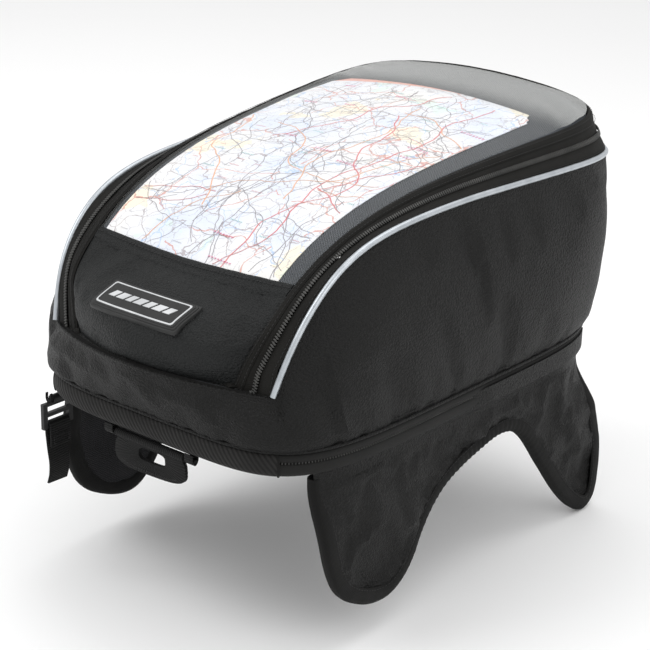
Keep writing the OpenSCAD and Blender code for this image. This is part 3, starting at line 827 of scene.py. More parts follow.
# ------------------------------------------------------------------ upper body
def make_walls():
    rows, cols = 27, 200

    def sheet(i, j):
        return wall_point(360 * j, i)

    sewn = grid_of(rows, cols, sheet, wrap=True)
    outer = cloth_grid(sewn, True, lambda i, j: i in (0, rows - 1), 2.2, 4.5, slack=0.012)
    share = np.linspace(0, 1, rows)[:, None, None]
    outer = sewn + (outer - sewn) * np.minimum(1, (1 - share) / 0.25)
    n = grid_normals(outer, True)
    for i in range(rows):
        u = i / (rows - 1)
        calm = min(1, u / 0.1) * min(1, (1 - u) / 0.4) ** 2
        for j in range(cols):
            p = outer[i, j]
            push = 1.1 * (1 + wander(p, 55)) + 0.35 * (1 + wander(p, 20, 70))
            corner = max(0, 1 - math.hypot(abs(p[0]) - 112, p[1] + 150) / 95)
            push += corner * 2.4 * (1 + wander((p[0] * 0.35, p[1] * 0.35, p[2] * 1.5), 22, 30))
            outer[i, j] = p + n[i, j] * push * calm
    dress(shell("wall_cover", outer, SKIN_T, wrap=True), "leather", "bag", "outer_wall")

    lining = grid_of(16, 160, lambda i, j: wall_point(360 * j, mix(0.02, 0.985, i), SKIN_T + FOAM_T + 0.2),
                     wrap=True)
    ripple = grid_normals(lining, True)
    for i in range(lining.shape[0]):
        for j in range(lining.shape[1]):
            lining[i, j] -= ripple[i, j] * (0.5 + 0.5 * wander(lining[i, j], 24, 11))
    dress(shell("lining_cloth", lining, 0.7, wrap=True), "lining", "bag", "wall_lining")

    # binding that closes the top of the wall, from the skin over the foam to the lining
    angles = [360 * k / 160 for k in range(160)]
    rim = [wall_point(a, 1, 3.4) for a in angles]
    turned = [flat_out(a) for a in angles]
    path, out = np.array(rim), np.array(turned)
    strip = []
    for i in range(7):
        a = math.pi * i / 6
        strip.append(path + out * 3.1 * math.cos(a) + np.array([0, 0, 1]) * (0.9 * math.sin(a) - 0.9))
    dress(shell("rim_binding", np.array(strip), 0.6, wrap=True), "binding", "bag")


def hem_path(out, z, count=240, start=0, end=360):
    closed = end - start == 360
    steps = count if closed else count - 1
    points = []
    for k in range(count):
        phi = mix(start, end, k / steps)
        p = hem_point(phi) + flat_out(phi) * out
        points.append((p.x, p.y, z))
    return points


def make_hem():
    path = hem_path(0.6, BASE_H + 0.2)
    dress(sweep("hem_roll", path, (0, 0, 1), circle(1.5, 10), closed=True), "leather", "bag",
          "hem_welt")
    stitch_path = resampled(hem_path(1.2, BASE_H + 4.2), 3.4, closed=True)
    _, t, _, _ = frames_along(stitch_path, (0, 0, 1), True)
    dress(beads("hem_stitches", stitch_path, t, (0, 0, 1), 2.3, 0.28), "thread", "bag")


FRONT_SPAN = (229.4, 310.6)


def make_base():
    side_profile = [(p.x, p.y) for p in spline([
        (-5, 18.4), (-1.5, 18.6), (0.3, 17.4), (0.9, 15.2), (0.5, 13.2), (-0.7, 12.6), (-0.7, 11.6),
        (0.5, 11.0),
        (1.0, 8.6), (0.7, 5.6), (-0.8, 3.0), (-3, 1.9), (-5.4, 2.2), (-5.4, 10)], 3, closed=True)]
    front_profile = [(p.x, p.y) for p in spline([
        (-5, 18.4), (-1.5, 18.6), (0.6, 17.2), (1.7, 13.6), (1.9, 10), (1.4, 5.8), (-0.6, 2.8), (-3, 1.9),
        (-5.4, 2.2), (-5.4, 10)], 3, closed=True)]
    sides = hem_path(0, 0, 260, FRONT_SPAN[1] - 360, FRONT_SPAN[0])
    dress(sweep("base_side_band", sides, (0, 0, 1), side_profile), "band", "bag",
          "base_band_sides")
    front = hem_path(0, 0, 90, *FRONT_SPAN)
    dress(sweep("base_front_band", front, (0, 0, 1), front_profile), "ribs", "bag",
          "base_band_front")
    chain = resampled(hem_path(-0.2, 12.1, 260, FRONT_SPAN[1] - 360, FRONT_SPAN[0]), 2.2)
    _, _, side, _ = frames_along(chain, (0, 0, 1), False)
    dress(beads("base_zip_teeth", chain, (0, 0, 1), side, 1.5, 0.55), "teeth", "bag",
          "base_zip_coil")
    for tag, phi in (("right", FRONT_SPAN[1]), ("left", FRONT_SPAN[0])):
        p, out = hem_point(phi), flat_out(phi)
        post = [Vector((p.x, p.y, z)) + out * (1.6 - 0.02 * (z - 10) ** 2) for z in np.linspace(3, 18, 10)]
        dress(sweep("base_seam_" + tag, post, out, circle(0.9, 8)), "binding", "bag")

    # soft pad under the base, quilted in diamonds, and the padded floor inside
    _, pad_high = node_box("base_grip_pad")
    fill = filled([(pad_high.x * x, pad_high.y * y) for x,
                   y in (unit_box(3 * k, HEM_POWER) for k in range(120))], 5)

    def quilt(x, y):
        return abs(math.sin(math.pi * (x + y) / 34)) * abs(math.sin(math.pi * (x - y) / 34))

    dress(plate("base_pad", fill, lambda x, y, d: (x, y, 2.1),
                lambda x, y, d: (x, y, 0.1 + 1.1 * math.exp(-d / 3) + 0.8 * (1 - quilt(x, y) ** 0.5))),
          "grip", "bag", "base_grip_pad")
    floor = filled([((HEM_W - 13) * x, (HEM_L - 13) * y) for x,
                    y in (unit_box(3 * k, HEM_POWER) for k in range(120))], 7)
    dress(plate("floor_cloth", floor,
                lambda x, y,
                d: (x, y, BASE_H + 1.2 + 2.0 * (1 - math.exp(-d / 9)) + 0.4 * wander((x, y, 0), 38)),
                lambda x, y, d: (x, y, BASE_H + 0.1)),
          "lining", "bag", "floor_board")
    keep("base_pan", "board")
    keep("base_core", "foam")
    for name in ("foam_board_front", "foam_board_right", "foam_board_rear", "foam_board_left"):
        keep(name, "foam")


# ------------------------------------------------------------------ piping and zip
def track(k, count=300, lift=0.0, first=0.0, last=1.0):
    points = []
    for i in range(count):
        s = mix(first, last, i / (count - 1))
        points.append(band_point(s, k) + band_out(s) * lift)
    return points


def band_out(s):
    """Outward normal of the band between piping and lid edge."""
    ahead, behind = band_point(s + 0.006, 0.5), band_point(s - 0.006, 0.5)
    rise = band_point(s, 1) - band_point(s, 0)
    return (ahead - behind).cross(rise).normalized()


def tucked(s):
    """Pushes the last few millimetres of the band down behind the crease."""
    over = max(0, -s, s - 1) / 0.014
    return Vector((0, 1.5, -3.0)) * over


def band_sheet(k0, k1, rows, lift, crown=0.0, count=300, over=0.014):
    def point(i, j):
        s = mix(-over, 1 + over, j)
        p = band_point(s, mix(k0, k1, i))
        ripple = 0.4 * wander(p, 14, 5) + 0.15 * wander(p, 5, 15)
        return p + band_out(s) * (lift + crown * math.sin(math.pi * i) + ripple) + tucked(s)
    return grid_of(rows, count, point)


def make_piping_and_zip():
    # bag side: silver piping on its flange, and the lower tape with its teeth
    ups = [band_out(i / 299) for i in range(300)]
    cord = np.array([p + Vector((0, 0, 1.0)) + flat_out(band_phi(i / 299, 0)) * 1.1 for i,
                     p in enumerate(track(0.0))])
    for _ in range(12):
        cord[1:-1] = cord[1:-1] + 0.4 * (cord[:-2] + cord[2:] - 2 * cord[1:-1])
    section = circle(2.1, 14)
    dress(sweep("silver_piping", cord, ups, section), "silver", "bag", "reflective_piping")
    dress(shell("lower_zip_tape", band_sheet(0.06, 0.44, 7, 0.5, 0.5), 0.9), "tape", "bag",
          "zip_tape_lower")
    dress(shell("upper_zip_tape", band_sheet(0.56, 0.8, 6, 0.5, 0.3), 0.9), "tape", "lid",
          "zip_tape_upper")
    dress(shell("lid_binding", band_sheet(0.76, 1.03, 7, 1.0, 1.1), 1.6), "tape", "lid",
          "lid_edge_band")

    for name, k, shift, body, stands_for in (("lower_teeth", 0.478, 0.0, "bag", "zip_coil_lower"),
                                             ("upper_teeth", 0.522, 0.5, "lid", "zip_coil_upper")):
        line = resampled(track(k, lift=1.7), 2.0)
        count = len(line)
        shares = [(i + shift) / count for i in range(count)]
        if shift:
            line = (line[:-1] + line[1:]) / 2
            shares = shares[:-1]
        normal = np.array([band_out(s) for s in shares])
        _, t, _, _ = frames_along(line, normal, False)
        dress(beads(name, line, np.cross(normal, t), normal, 2.6, 0.62, sides=6), "teeth", body,
              stands_for)

    # rows of fine stitches on the tapes
    for name, k, body, lift in (("lower_tape_stitches", 0.14, "bag", 1.15),
                                ("upper_tape_stitches", 0.80, "lid", 2.6),
                                ("lid_binding_stitches", 0.955, "lid", 2.3)):
        line = resampled(track(k, lift=lift), 3.0)
        _, t, _, _ = frames_along(line, (0, 0, 1), False)
        dress(beads(name, line, t, (0, 0, 1), 2.0, 0.24), "thread", body)


# ------------------------------------------------------------------ lid
def lid_grid(v0, v1, rows, cols, drop, side, power=1.0, extra=None):
    def point(i, j):
        p = lid_point(mix(-side, side, j), mix(v0, v1, i ** power), drop)
        return p + Vector((0, 0, extra(p))) if extra else p
    return grid_of(rows, cols, point)


def vinyl_rise(p):
    """How far the clear window stands above the sheet under it: ripples, and puckers at the far corners."""
    rise = 0.5 + 0.45 * wander(p, 60, 3) + 0.2 * wander(p, 22, 8)
    for x, y, strength in ((96, 148, 2.3), (-98, 146, 1.6)):
        dx, dy = p[0] - x, p[1] - y
        near = math.exp(-(dx * dx / 700 + dy * dy / 1400))
        rise += strength * near * (0.6 + 0.5 * math.sin((dx * 0.55 + dy * 0.9) / 3.4)
                                   * math.exp(-abs(dx) / 30))
    return max(0.25, rise)


def paper_z(x, y):
    return lid_z(x, y) - 0.75 + 0.3 * wander((x, y, 0), 45, 20)


def make_lid():
    rows, cols = 30, 60
    nose = grid_of(rows, cols, lambda i, j: nose_point(mix(-0.995, 0.995, j), mix(NOSE_V, SEAM_V, i ** 1.6)))

    def sewn(i, j):
        return i in (0, rows - 1) or j in (0, cols - 1)

    flat = nose.copy()
    nose = cloth_grid(nose, False, sewn, 2.0, 2.5, slack=0.01)
    n = grid_normals(nose, False)
    for i in range(rows):
        v = mix(NOSE_V, SEAM_V, (i / (rows - 1)) ** 1.6)
        roll = nose_roll(v)
        for j in range(cols):
            calm = min(1, i / 5, (rows - 1 - i) / 3, j / 5, (cols - 1 - j) / 5)
            nose[i, j] += n[i,
                            j] * calm * (0.8 * wander(nose[i, j], 34, 2) + 0.35 * wander(nose[i, j], 13, 9))
            nose[i, j][1] -= 2.0 * math.sin(math.pi * min(1, roll / 0.95)) * min(1, j / 4, (cols - 1 - j) / 4)
            across, along = flat[i, j][0], (v - BADGE_V) * BADGE_RISE.length
            seat = math.exp(-math.hypot(across / 50, along / 21) ** 4)
            if seat > 0.01:
                nose[i, j] = mix(nose[i, j], np.array(panel_point(across, along)), seat)
    # the front panel wears the lighter copy of the leathercloth: painted light where it faces the lamps
    dress(shell("front_panel", nose, PANEL_T), "panel", "lid", "lid_front_panel")

    backing = lid_grid(SEAM_V, BACK_V, 40, 40, 1.6, 0.985, extra=lambda p: 0.25 * wander(p, 40, 14))
    dress(shell("pocket_backing", backing, 0.9), "backing", "lid", "window_backing")

    window = lid_grid(SEAM_V + 0.006, BACK_V, 80, 70, -0.4, 0.985, extra=vinyl_rise)
    dress(shell("clear_window", window, 0.45), "vinyl", "lid", "map_window")

    # hem of the front panel over the window's front edge, with its stitches
    fold = lid_grid(SEAM_V - 0.022, SEAM_V + 0.03, 8, 60, -0.6, 0.985,
                    extra=lambda p: 0.9 + 0.3 * wander(p, 12, 4))
    fold[0, :, 2] -= 1.3
    fold[-1, :, 2] -= 0.9
    dress(shell("seam_fold", fold, 1.2), "panel", "lid", "window_seam_tape")
    seam = [lid_point(mix(-0.97, 0.97, k / 80), SEAM_V + 0.008, -2.1) for k in range(81)]
    line = resampled(seam, 3.2)
    _, t, _, _ = frames_along(line, (0, 0, 1), False)
    dress(beads("seam_stitches", line, t, (0, 0, 1), 2.2, 0.3), "thread", "lid")

    # inside: the lid's lining, and a skirt that closes the gap to the zip tape
    lining = lid_grid(NOSE_V, BACK_V, 40, 40, PANEL_T + STIFFENER_T + 0.1, 0.97, power=1.2,
                      extra=lambda p: 0.4 * wander(p, 34, 17))
    dress(shell("lid_cloth", lining, 0.7), "lining", "lid", "lid_lining")

    def skirt(i, s):
        outer = band_point(s, 0.7) - band_out(s) * 0.8
        inner = band_point(s, 1.06) - Vector((0, 0, PANEL_T + STIFFENER_T + 0.2))
        return outer.lerp(inner, i) - band_out(s) * 1.2 * math.sin(math.pi * i)

    dress(shell("lid_skirt", grid_of(7, 220, skirt), 0.6), "binding", "lid")
    keep("lid_stiffener", "foam")

    # crease between the rolled nose and the apron
    welt = [wall_point(mix(180 + TRACK_END + 2, 360 - TRACK_END - 2, k / 90), 1, 1.0) + Vector((0, 0, -0.9))
            for k in range(91)]
    dress(sweep("crease_cord", welt, (0, 0, 1), circle(1.3, 10)), "leather", "bag",
          "crease_welt")


def nose_fill(u, v):
    """Padding that fills the nose out over the crease and lays the badge's seat flatter."""
    t = min(1, max(0, (v - NOSE_V) / (SEAM_V - NOSE_V)))
    return Vector((0, -5.0, 7.6)) * math.sin(math.pi * t ** 0.39) ** 3 * (1 - abs(u) ** 6)


def nose_point(u, v):
    return lid_point(u, v) + nose_fill(u, v)


BADGE_V = length_share(BADGE_Y)
BADGE_RISE = (nose_point(0, BADGE_V + 0.04) - nose_point(0, BADGE_V - 0.04)) / 0.08
BADGE_UP = BADGE_RISE.normalized()
BADGE_OUT = Vector((1, 0, 0)).cross(BADGE_UP)


def panel_point(a, b, height=0):
    """Place on the badge's seat, a across and b up; the stiff badge bends half as far as the lid."""
    v = max(NOSE_V, BADGE_V + b / BADGE_RISE.length)
    u = a / (LID_W + LID_TAPER * BADGE_Y) / (1 - abs(v) ** NOSE_POWER) ** (1 / NOSE_POWER)
    flat = nose_point(0, BADGE_V) + Vector((a, 0, 0)) + BADGE_UP * b
    return nose_point(u, v).lerp(flat, 0.5) + BADGE_OUT * height


def make_crease_gussets():
    """Cloth from the wall's rim to the nose's lower edge; it unfolds as the lid lifts."""
    for tag, half in (("right", 1), ("left", -1)):
        def point(i, j):
            top = lid_point(half * 0.995 * j, NOSE_V) + Vector((0, 1.4, 1.2))
            angle = math.degrees(math.atan(top.x / (RIM_W + RIM_TAPER * NOSE_Y)))
            low = rim_point(270 + angle) + Vector((0, 2.8, -2.4))
            return low.lerp(top, i) + Vector((0, 1.0 * math.sin(math.pi * i), 0))

        gusset = shell("crease_gusset_" + tag, grid_of(12, 40, point), 0.6)
        dress(gusset, "leather", None)
        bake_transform(gusset)


def slab(name, w, h, low, high, soft, hole=None):
    """Plate that follows the front panel, with edges rounded off over a few tenths of a millimetre."""
    def ring(grow):
        corner = 1.2 + grow
        points = []
        for cx, cy, start in ((1, 1, 0), (-1, 1, 90), (-1, -1, 180), (1, -1, 270)):
            for k in range(4):
                t = math.radians(start + 30 * k)
                points.append((cx * (w / 2 - 1.2) + corner * math.cos(t),
                               cy * (h / 2 - 1.2) + corner * math.sin(t)))
        path = resampled([(x, y, 0) for x, y in points], 1.7, closed=True)
        return path

    rings = [(0, low), (0, high - soft), (-0.3 * soft, high - 0.3 * soft), (-soft, high)]
    grid = []
    base = ring(0)
    centre = base.mean(axis=0)
    for grow, z in rings:
        reach = [1 + grow / max(1, np.linalg.norm(q - centre)) for q in base]
        grid.append([panel_point(q[0] * r, q[1] * r, z) for q, r in zip(base, reach)])
    if hole:
        for grow, z in reversed(rings):
            grid.append([panel_point(q[0] - math.copysign(hole, q[0]) * (abs(q[0]) > w / 2 - 1.5),
                                     q[1] - math.copysign(hole, q[1]) * (abs(q[1]) > h / 2 - 1.5),
                                     z) for q in base])
        count = len(base)
        verts = [v for row in grid for v in row]
        faces = [[i * count + j, i * count + (j + 1) % count, ((i + 1) % len(grid)) * count + (j + 1) % count,
                  ((i + 1) % len(grid)) * count + j] for i in range(len(grid)) for j in range(count)]
        return new_object(name, verts, faces, crisp=50)
    count = len(base)
    verts = [v for row in grid for v in row]
    for share in (0.66, 0.33):
        verts += [panel_point(q[0] * share, q[1] * share, high) for q in base]
    verts.append(panel_point(0, 0, high))
    rows = len(grid) + 2
    faces = [[i * count + j, i * count + (j + 1) % count, (i + 1) * count + (j + 1) % count,
              (i + 1) * count + j]
             for i in range(rows - 1) for j in range(count)]
    faces += [[(rows - 1) * count + j, (rows - 1) * count + (j + 1) % count,
               rows * count] for j in range(count)]
    under = len(verts)
    verts.append(panel_point(0, 0, low))
    faces += [[(j + 1) % count, j, under] for j in range(count)]
    return new_object(name, verts, faces, crisp=50)


def make_badge():
    plate_low = slab("plate_low", 79, 30, -0.9, 1.5, 0.5)
    plate_mid = slab("plate_mid", 76.4, 27.4, 0.4, 2.3, 0.5)
    plate_high = slab("plate_high", 73.6, 25.2, 1.2, 2.9, 0.4)
    dress(joined("badge_plate", [plate_low, plate_mid, plate_high]), "badge", "lid",
          "badge_base")
    dress(slab("badge_line", 70, 23, 2.4, 3.15, 0.15, hole=1.1), "print", "lid",
          "badge_frame")
    bars = []
    for k in range(-3, 4):
        wide = 5.4 if k % 2 else 7.2
        verts = []
        for z in (2.5, 3.3):
            for i in range(5):
                b = mix(-3.1, 3.1, i / 4)
                verts += [panel_point(k * 8.3 + b * 0.45 - wide / 2, b, z),
                          panel_point(k * 8.3 + b * 0.45 + wide / 2, b, z)]
        faces = []
        for i in range(4):
            q = 2 * i
            faces += [[q, q + 1, q + 3, q + 2], [q + 10, q + 12, q + 13, q + 11],
                      [q, q + 2, q + 12, q + 10], [q + 1, q + 11, q + 13, q + 3]]
        faces += [[0, 10, 11, 1], [8, 9, 19, 18]]
        bars.append(new_object("bar", verts, faces))
    dress(joined("badge_bars", bars), "print", "lid", "badge_emblem")


# ------------------------------------------------------------------ map
MAP_FRONT = SEAM_Y + 5
MAP_L = 276
MAP_W = 190
MAP_RIGHT = (74, 89)
TOWNS = ((-30, -95), (38, -62), (58, 18), (8, 62), (-52, -10))


def map_edge(y):
    return mix(*MAP_RIGHT, (y - MAP_FRONT) / MAP_L)


def make_map():
    far = MAP_FRONT + MAP_L
    left = [(max(map_edge(y) - MAP_W, -0.94 * (LID_W + LID_TAPER * y)), y) for y in np.linspace(far - 8,
                                                                                                MAP_FRONT,
                                                                                                24)]
    front = [(x, MAP_FRONT) for x in np.linspace(left[-1][0], map_edge(MAP_FRONT), 16)][1:]
    right = [(map_edge(y), y) for y in np.linspace(MAP_FRONT, far - 20, 24)][1:]
    torn = [(map_edge(far) - 0.6, far - 15), (map_edge(far) - 3.2, far - 12.5),
            (map_edge(far) - 3.4, far - 9),
            (map_edge(far) - 7.0, far - 6.5), (map_edge(far) - 8.5, far - 1.2)]
    back = [(x, far - 1.2 + 0.012 * (map_edge(far) - x)) for x in np.linspace(map_edge(far) - 9, left[0][0],
                                                                              16)][1:-1]
    fill = filled(left + front + right + torn + back, 5)
    dress(plate("road_map", fill, lambda x, y, d: (x, y, paper_z(x, y)), lambda x, y,
                d: (x, y, paper_z(x, y) - 0.5)),
          "map", "lid", "map_sheet")

    chance = random.Random(7)

    def on_sheet(x, y):
        low = max(map_edge(y) - MAP_W, -0.94 * (LID_W + LID_TAPER * y)) + 2
        return low < x < map_edge(y) - 2 and MAP_FRONT + 2 < y < far - 9

    def road(start, heading, length, wiggle):
        """A road that wanders over the sheet until it leaves it."""
        x, y = start
        points = []
        turn = 0.0
        for _ in range(int(length / 4)):
            if not on_sheet(x, y):
                break
            points.append(Vector((x, y, paper_z(x, y) + 0.05)))
            turn = 0.88 * turn + chance.uniform(-wiggle, wiggle)
            x += 4 * math.cos(heading + turn)
            y += 4 * math.sin(heading + turn)
        return points

    def roads(name, paint, count, width, length, wiggle, spread):
        made = []
        while len(made) < count:
            hub = TOWNS[len(made) % len(TOWNS)]
            start = (hub[0] + chance.uniform(-spread, spread), hub[1] + chance.uniform(-spread, spread))
            points = road(start, chance.uniform(0, math.tau), length, wiggle)
            if len(points) > 7:
                line = spline(points, 3)
                made.append(sweep(name + str(len(made)), line, (0, 0, 1),
                                  [(width / 2, 0.04), (-width / 2, 0.04), (-width / 2, -0.05),
                                   (width / 2, -0.05)]))
        whole = joined(name, made)
        dress(whole, paint, "lid")

    roads("roads_red", "red", 8, 1.0, 240, 0.3, 3)
    roads("roads_orange", "orange", 7, 0.9, 180, 0.32, 25)
    roads("roads_grey", "grey", 46, 0.55, 150, 0.42, 60)

    def marks(name, paint, count, tall, most):
        """Rows of small slanted ticks where a printed map has place names."""
        centres, along = [], []
        for _ in range(count):
            x, y = chance.uniform(-85, 78), chance.uniform(MAP_FRONT + 6, far - 14)
            for k in range(chance.randint(4, most)):
                qx, qy = x + k * tall * 0.8, y - k * 0.03 * tall
                if on_sheet(qx, qy):
                    centres.append((qx, qy, paper_z(qx, qy) + 0.06))
                    along.append((0.12 * chance.uniform(-1, 1), 1, 0))
        dress(beads(name, np.array(centres), np.array(along), (0, 0, 1), tall, tall * 0.2, sides=4,
                    flat=0.15),
              paint, "lid")

    marks("marks_magenta", "magenta", 12, 3.4, 9)
    marks("marks_teal", "teal", 20, 2.0, 8)
    marks("marks_grey", "grey", 70, 1.3, 8)
    marks("marks_red", "red", 22, 1.7, 7)


def joined(name, parts):
    """One mesh object from several, in the order given."""
    work = bmesh.new()
    for part in parts:
        work.from_mesh(part.data)
        bpy.data.objects.remove(part)
    mesh = bpy.data.meshes.new(name)
    work.to_mesh(mesh)
    work.free()
    obj = bpy.data.objects.new(name, mesh)
    bpy.context.scene.collection.objects.link(obj)
    return obj


# ------------------------------------------------------------------ zip sliders
def make_sliders():
    for side in ("right", "left"):
        keep("slider_" + side, "moulded", 0.45)
        keep("pull_" + side, "moulded", 0.4)


# ------------------------------------------------------------------ saddle flaps
FLAP_SHAPE = [
    (-154.5, -2.5), (-152, -48), (-138, -88), (-111, -107), (-83, -111), (-62, -97), (-44, -70), (-18, -48),
    (16, -37), (50, -32), (76, -44), (104, -78), (134, -114), (163, -135), (183, -124), (185, -86),
    (173, -42), (162, -2.5)]


def flap_drape(y, z):
    """Sideways drift of a flap's cloth: none at its fold or over its stiff magnets, more at its rims."""
    hang = max(0, -z - 10) / 125
    stiff = sum(math.exp(-(math.hypot(y - my, z - mz) / 21) ** 4) for my, mz in MAGNETS)
    return max(0, 1 - stiff) * (3.5 * hang ** 1.2 + 1.6 * hang * wander((y, z, 0), 34, 40))


MAGNETS = node_middles("flap_magnets_right")


def flap_tuck(y, z):
    """How far a flap's top turns in, to meet the base where its outline curves away."""
    share = min(1, max(0, (z + 52) / 44))
    return (min(FLAP_X + 3.2, hem_x(y) - 2.2) - FLAP_X - 3.2) * share * share * (3 - 2 * share)


def make_flap(side, sign):
    edge = [(p.x, p.y) for p in spline([(y, z, 0) for y, z in FLAP_SHAPE], 8)]
    flat, tris, room = filled(edge, 5.5)

    def place(x, y, z):
        return (sign * (FLAP_X + x + flap_drape(y, z) + flap_tuck(y, z)), y, z)

    # cover: puffed out over the foam by cloth, held round its edge
    start = [place(2.9 + 0.7 * (1 - math.exp(-d / 6)), y, z) for (y, z), d in zip(flat, room)]
    faces = [list(t) if sign > 0 else list(reversed(t)) for t in tris]
    held = [i for i, d in enumerate(room) if d < 8]
    settled = cloth(start, faces, held, 2.2, 4, slack=0.02)
    under = [place(1.6, y, z) for y, z in flat]
    index = {(round(p[0], 4), round(p[1], 4)): k for k, p in enumerate(flat)}

    def top(y, z, d):
        k = index[(round(y, 4), round(z, 4))]
        ripple = min(1, d / 14) * (0.7 * wander((y, z, 0), 30, 50 * sign) + 0.3 * wander((y, z, 0), 12, 9))
        return settled[k] + np.array([sign * ripple, 0, 0])

    def below(y, z, d):
        return under[index[(round(y, 4), round(z, 4))]]

    def bending(obj, paint, stands_for=()):
        """Finishes a piece that stays with the base at its top and turns with the flap below."""
        dress(obj, paint, None, stands_for)
        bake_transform(obj)

    fill = (flat, tris, room)
    bending(plate("flap_face_" + side, fill, top, below), "leather",
            ["flap_cover_" + side, "flap_core_" + side])
    bending(plate("flap_back_" + side, fill,
                lambda y, z, d: place(-2.0, y, z),
                lambda y, z,
                d: place(-3.0 - 0.9 * (1 - math.exp(-d / 6)) - 0.2 * wander((y, z, 0), 20), y, z)),
            "grip", "flap_lining_" + side)

    # binding tape folded over the edge, gathered where it goes round the arch
    path = resampled([(0, y, z) for y, z in edge], 1.6)
    line = [place(0, y, z) for _, y, z in path]

    def section(i):
        y = path[i][1]
        arch = math.exp(-((y - 25) / 62) ** 2)
        gather = arch * math.sin(i * 1.9) * 0.55 + 0.25 * wander(path[i], 7, 12)
        reach = 11 - 1.5 * arch + 0.6 * wander(path[i], 16, 33)
        outline = [(reach, 3.3), (reach - 0.4, 4.3), (reach * 0.55, 4.7 + gather), (1.5, 4.5 + gather * 0.6),
                   (-1.0, 3.0 + gather),
                   (-1.5 - gather * 0.4, 0.2), (-1.0, -2.8), (1.5, -4.3 - gather * 0.5), (reach * 0.55, -4.7),
                   (reach - 0.4, -4.3),
                   (reach, -3.2), (reach - 3, -3.0), (0.6, -3.0), (0.6, 3.0), (reach - 3, 3.0)]
        return [(a * inward, b * sign) for a, b in outline]

    inward = 1
    _, t, side_dir, _ = frames_along(line, (1, 0, 0), False)
    middle = len(line) // 2
    if side_dir[middle][2] < 0:
        inward = -1
    bending(sweep("flap_edge_" + side, line, (1, 0, 0), section, crisp=70), "binding",
            "flap_binding_" + side)
    inner = [np.array(p) + inward * s * 9.3 + np.array([sign * 4.5, 0, 0]) for p, s in zip(line, side_dir)]
    stitch_line = resampled(inner[6:-6], 3.2)
    _, t, _, _ = frames_along(stitch_line, (1, 0, 0), False)
    bending(beads("flap_stitches_" + side, stitch_line, t, (1, 0, 0), 2.2, 0.28), "thread")

    # strip of cloth that joins the flap to the base and bends with it
    def cover(i, j):
        """Up from the flap; towards the tall end it runs on over the band, almost to the hem."""
        y = mix(-155, 163, j)
        rise = min(1, max(0, (y + 70) / 90))
        z = mix(-13, 2.6 + 13.2 * rise * rise * (3 - 2 * rise), i)
        low = place(3.6 - 0.8 * i, y, min(z, 0))
        over = min(1, max(0, (z + 5) / 8))
        outside = sign * (hem_x(y) + 2.4 - 0.9 * (1 - rise))
        return (mix(low[0], outside, over * over * (3 - 2 * over) * rise), y, z)

    strip = grid_of(14, 90, cover)
    if sign < 0:
        strip = strip[:, ::-1]
    bending(shell("flap_hinge_" + side, strip, 1.2), "leather", "flap_seam_" + side)
    keep("flap_magnets_" + side, "steel")


# ------------------------------------------------------------------ webbing at the rider end
LOOP_Y = -184
STRAP = (-109, -172)


def make_carry_loop():
    def ring(i, j):
        """From the slot's edge out to the loop's edge."""
        ax, az = unit_box(360 * j, 4)
        bx, bz = unit_box(360 * j, 3.4)
        slot = Vector((12.3 * ax, 0, -13.2 + 4.5 * az))
        edge = Vector((-2 + 33.0 * bx, 0, -15.2 + 12.2 * bz))
        p = slot.lerp(edge, i)
        depth = 1.1 + 0.6 * math.sin(math.pi * i)
        return Vector((p.x, LOOP_Y - depth + 1.6 * math.sin(p.x / 17) * max(0, -p.z - 8) / 30, p.z))

    front = grid_of(9, 96, ring, wrap=True)
    back = front + np.array([0, 2.6, 0])
    dress(shell("webbing_loop", front, 2.6, wrap=True, inner=back), "webbing", "front_loop",
          "carry_loop")
    sleeve = [(x, LOOP_Y, -4.5) for x in np.linspace(-34, 30, 40)]
    dress(sweep("loop_sleeve", sleeve, (0, 0, 1), circle(2.9, 14)), "webbing", "front_loop")
    hole = [(x, LOOP_Y - 2.2, z) for x, z in ((-27, -22.5), (-17, -24.5), (13, -24.5), (23, -22.5))]
    line = resampled(hole, 2.6)
    _, t, _, _ = frames_along(line, (0, 1, 0), False)
    dress(beads("loop_stitches", line, t, (0, 1, 0), 1.9, 0.3), "thread", "front_loop")

    tabs = []
    for x in (-40, 36):
        fold = [(x, LOOP_Y - 2.4, 0.6), (x, LOOP_Y - 2.5, -4), (x, LOOP_Y, -6.9), (x, LOOP_Y + 2.5, -4),
                (x, LOOP_Y + 2.4, 0.6)]
        tabs.append(sweep("tab", spline(fold, 5), (1, 0, 0), [(b, a) for a, b in rounded_box(8, 1.0, 0.4)]))
    bar = sweep("bar", [(x, LOOP_Y, -4.5) for x in np.linspace(-44, 40, 30)], (0, 0, 1), circle(1.5, 12))
    behind = [(x, LOOP_Y + 3.9, 0) for x in np.linspace(-36, 32, 20)]
    tabs.append(sweep("behind", behind, (0, 0, 1), rounded_box(1.2, 5.6, 0.4)))
    dress(joined("loop_tabs", tabs + [bar]), "webbing", "bag", "loop_anchor")


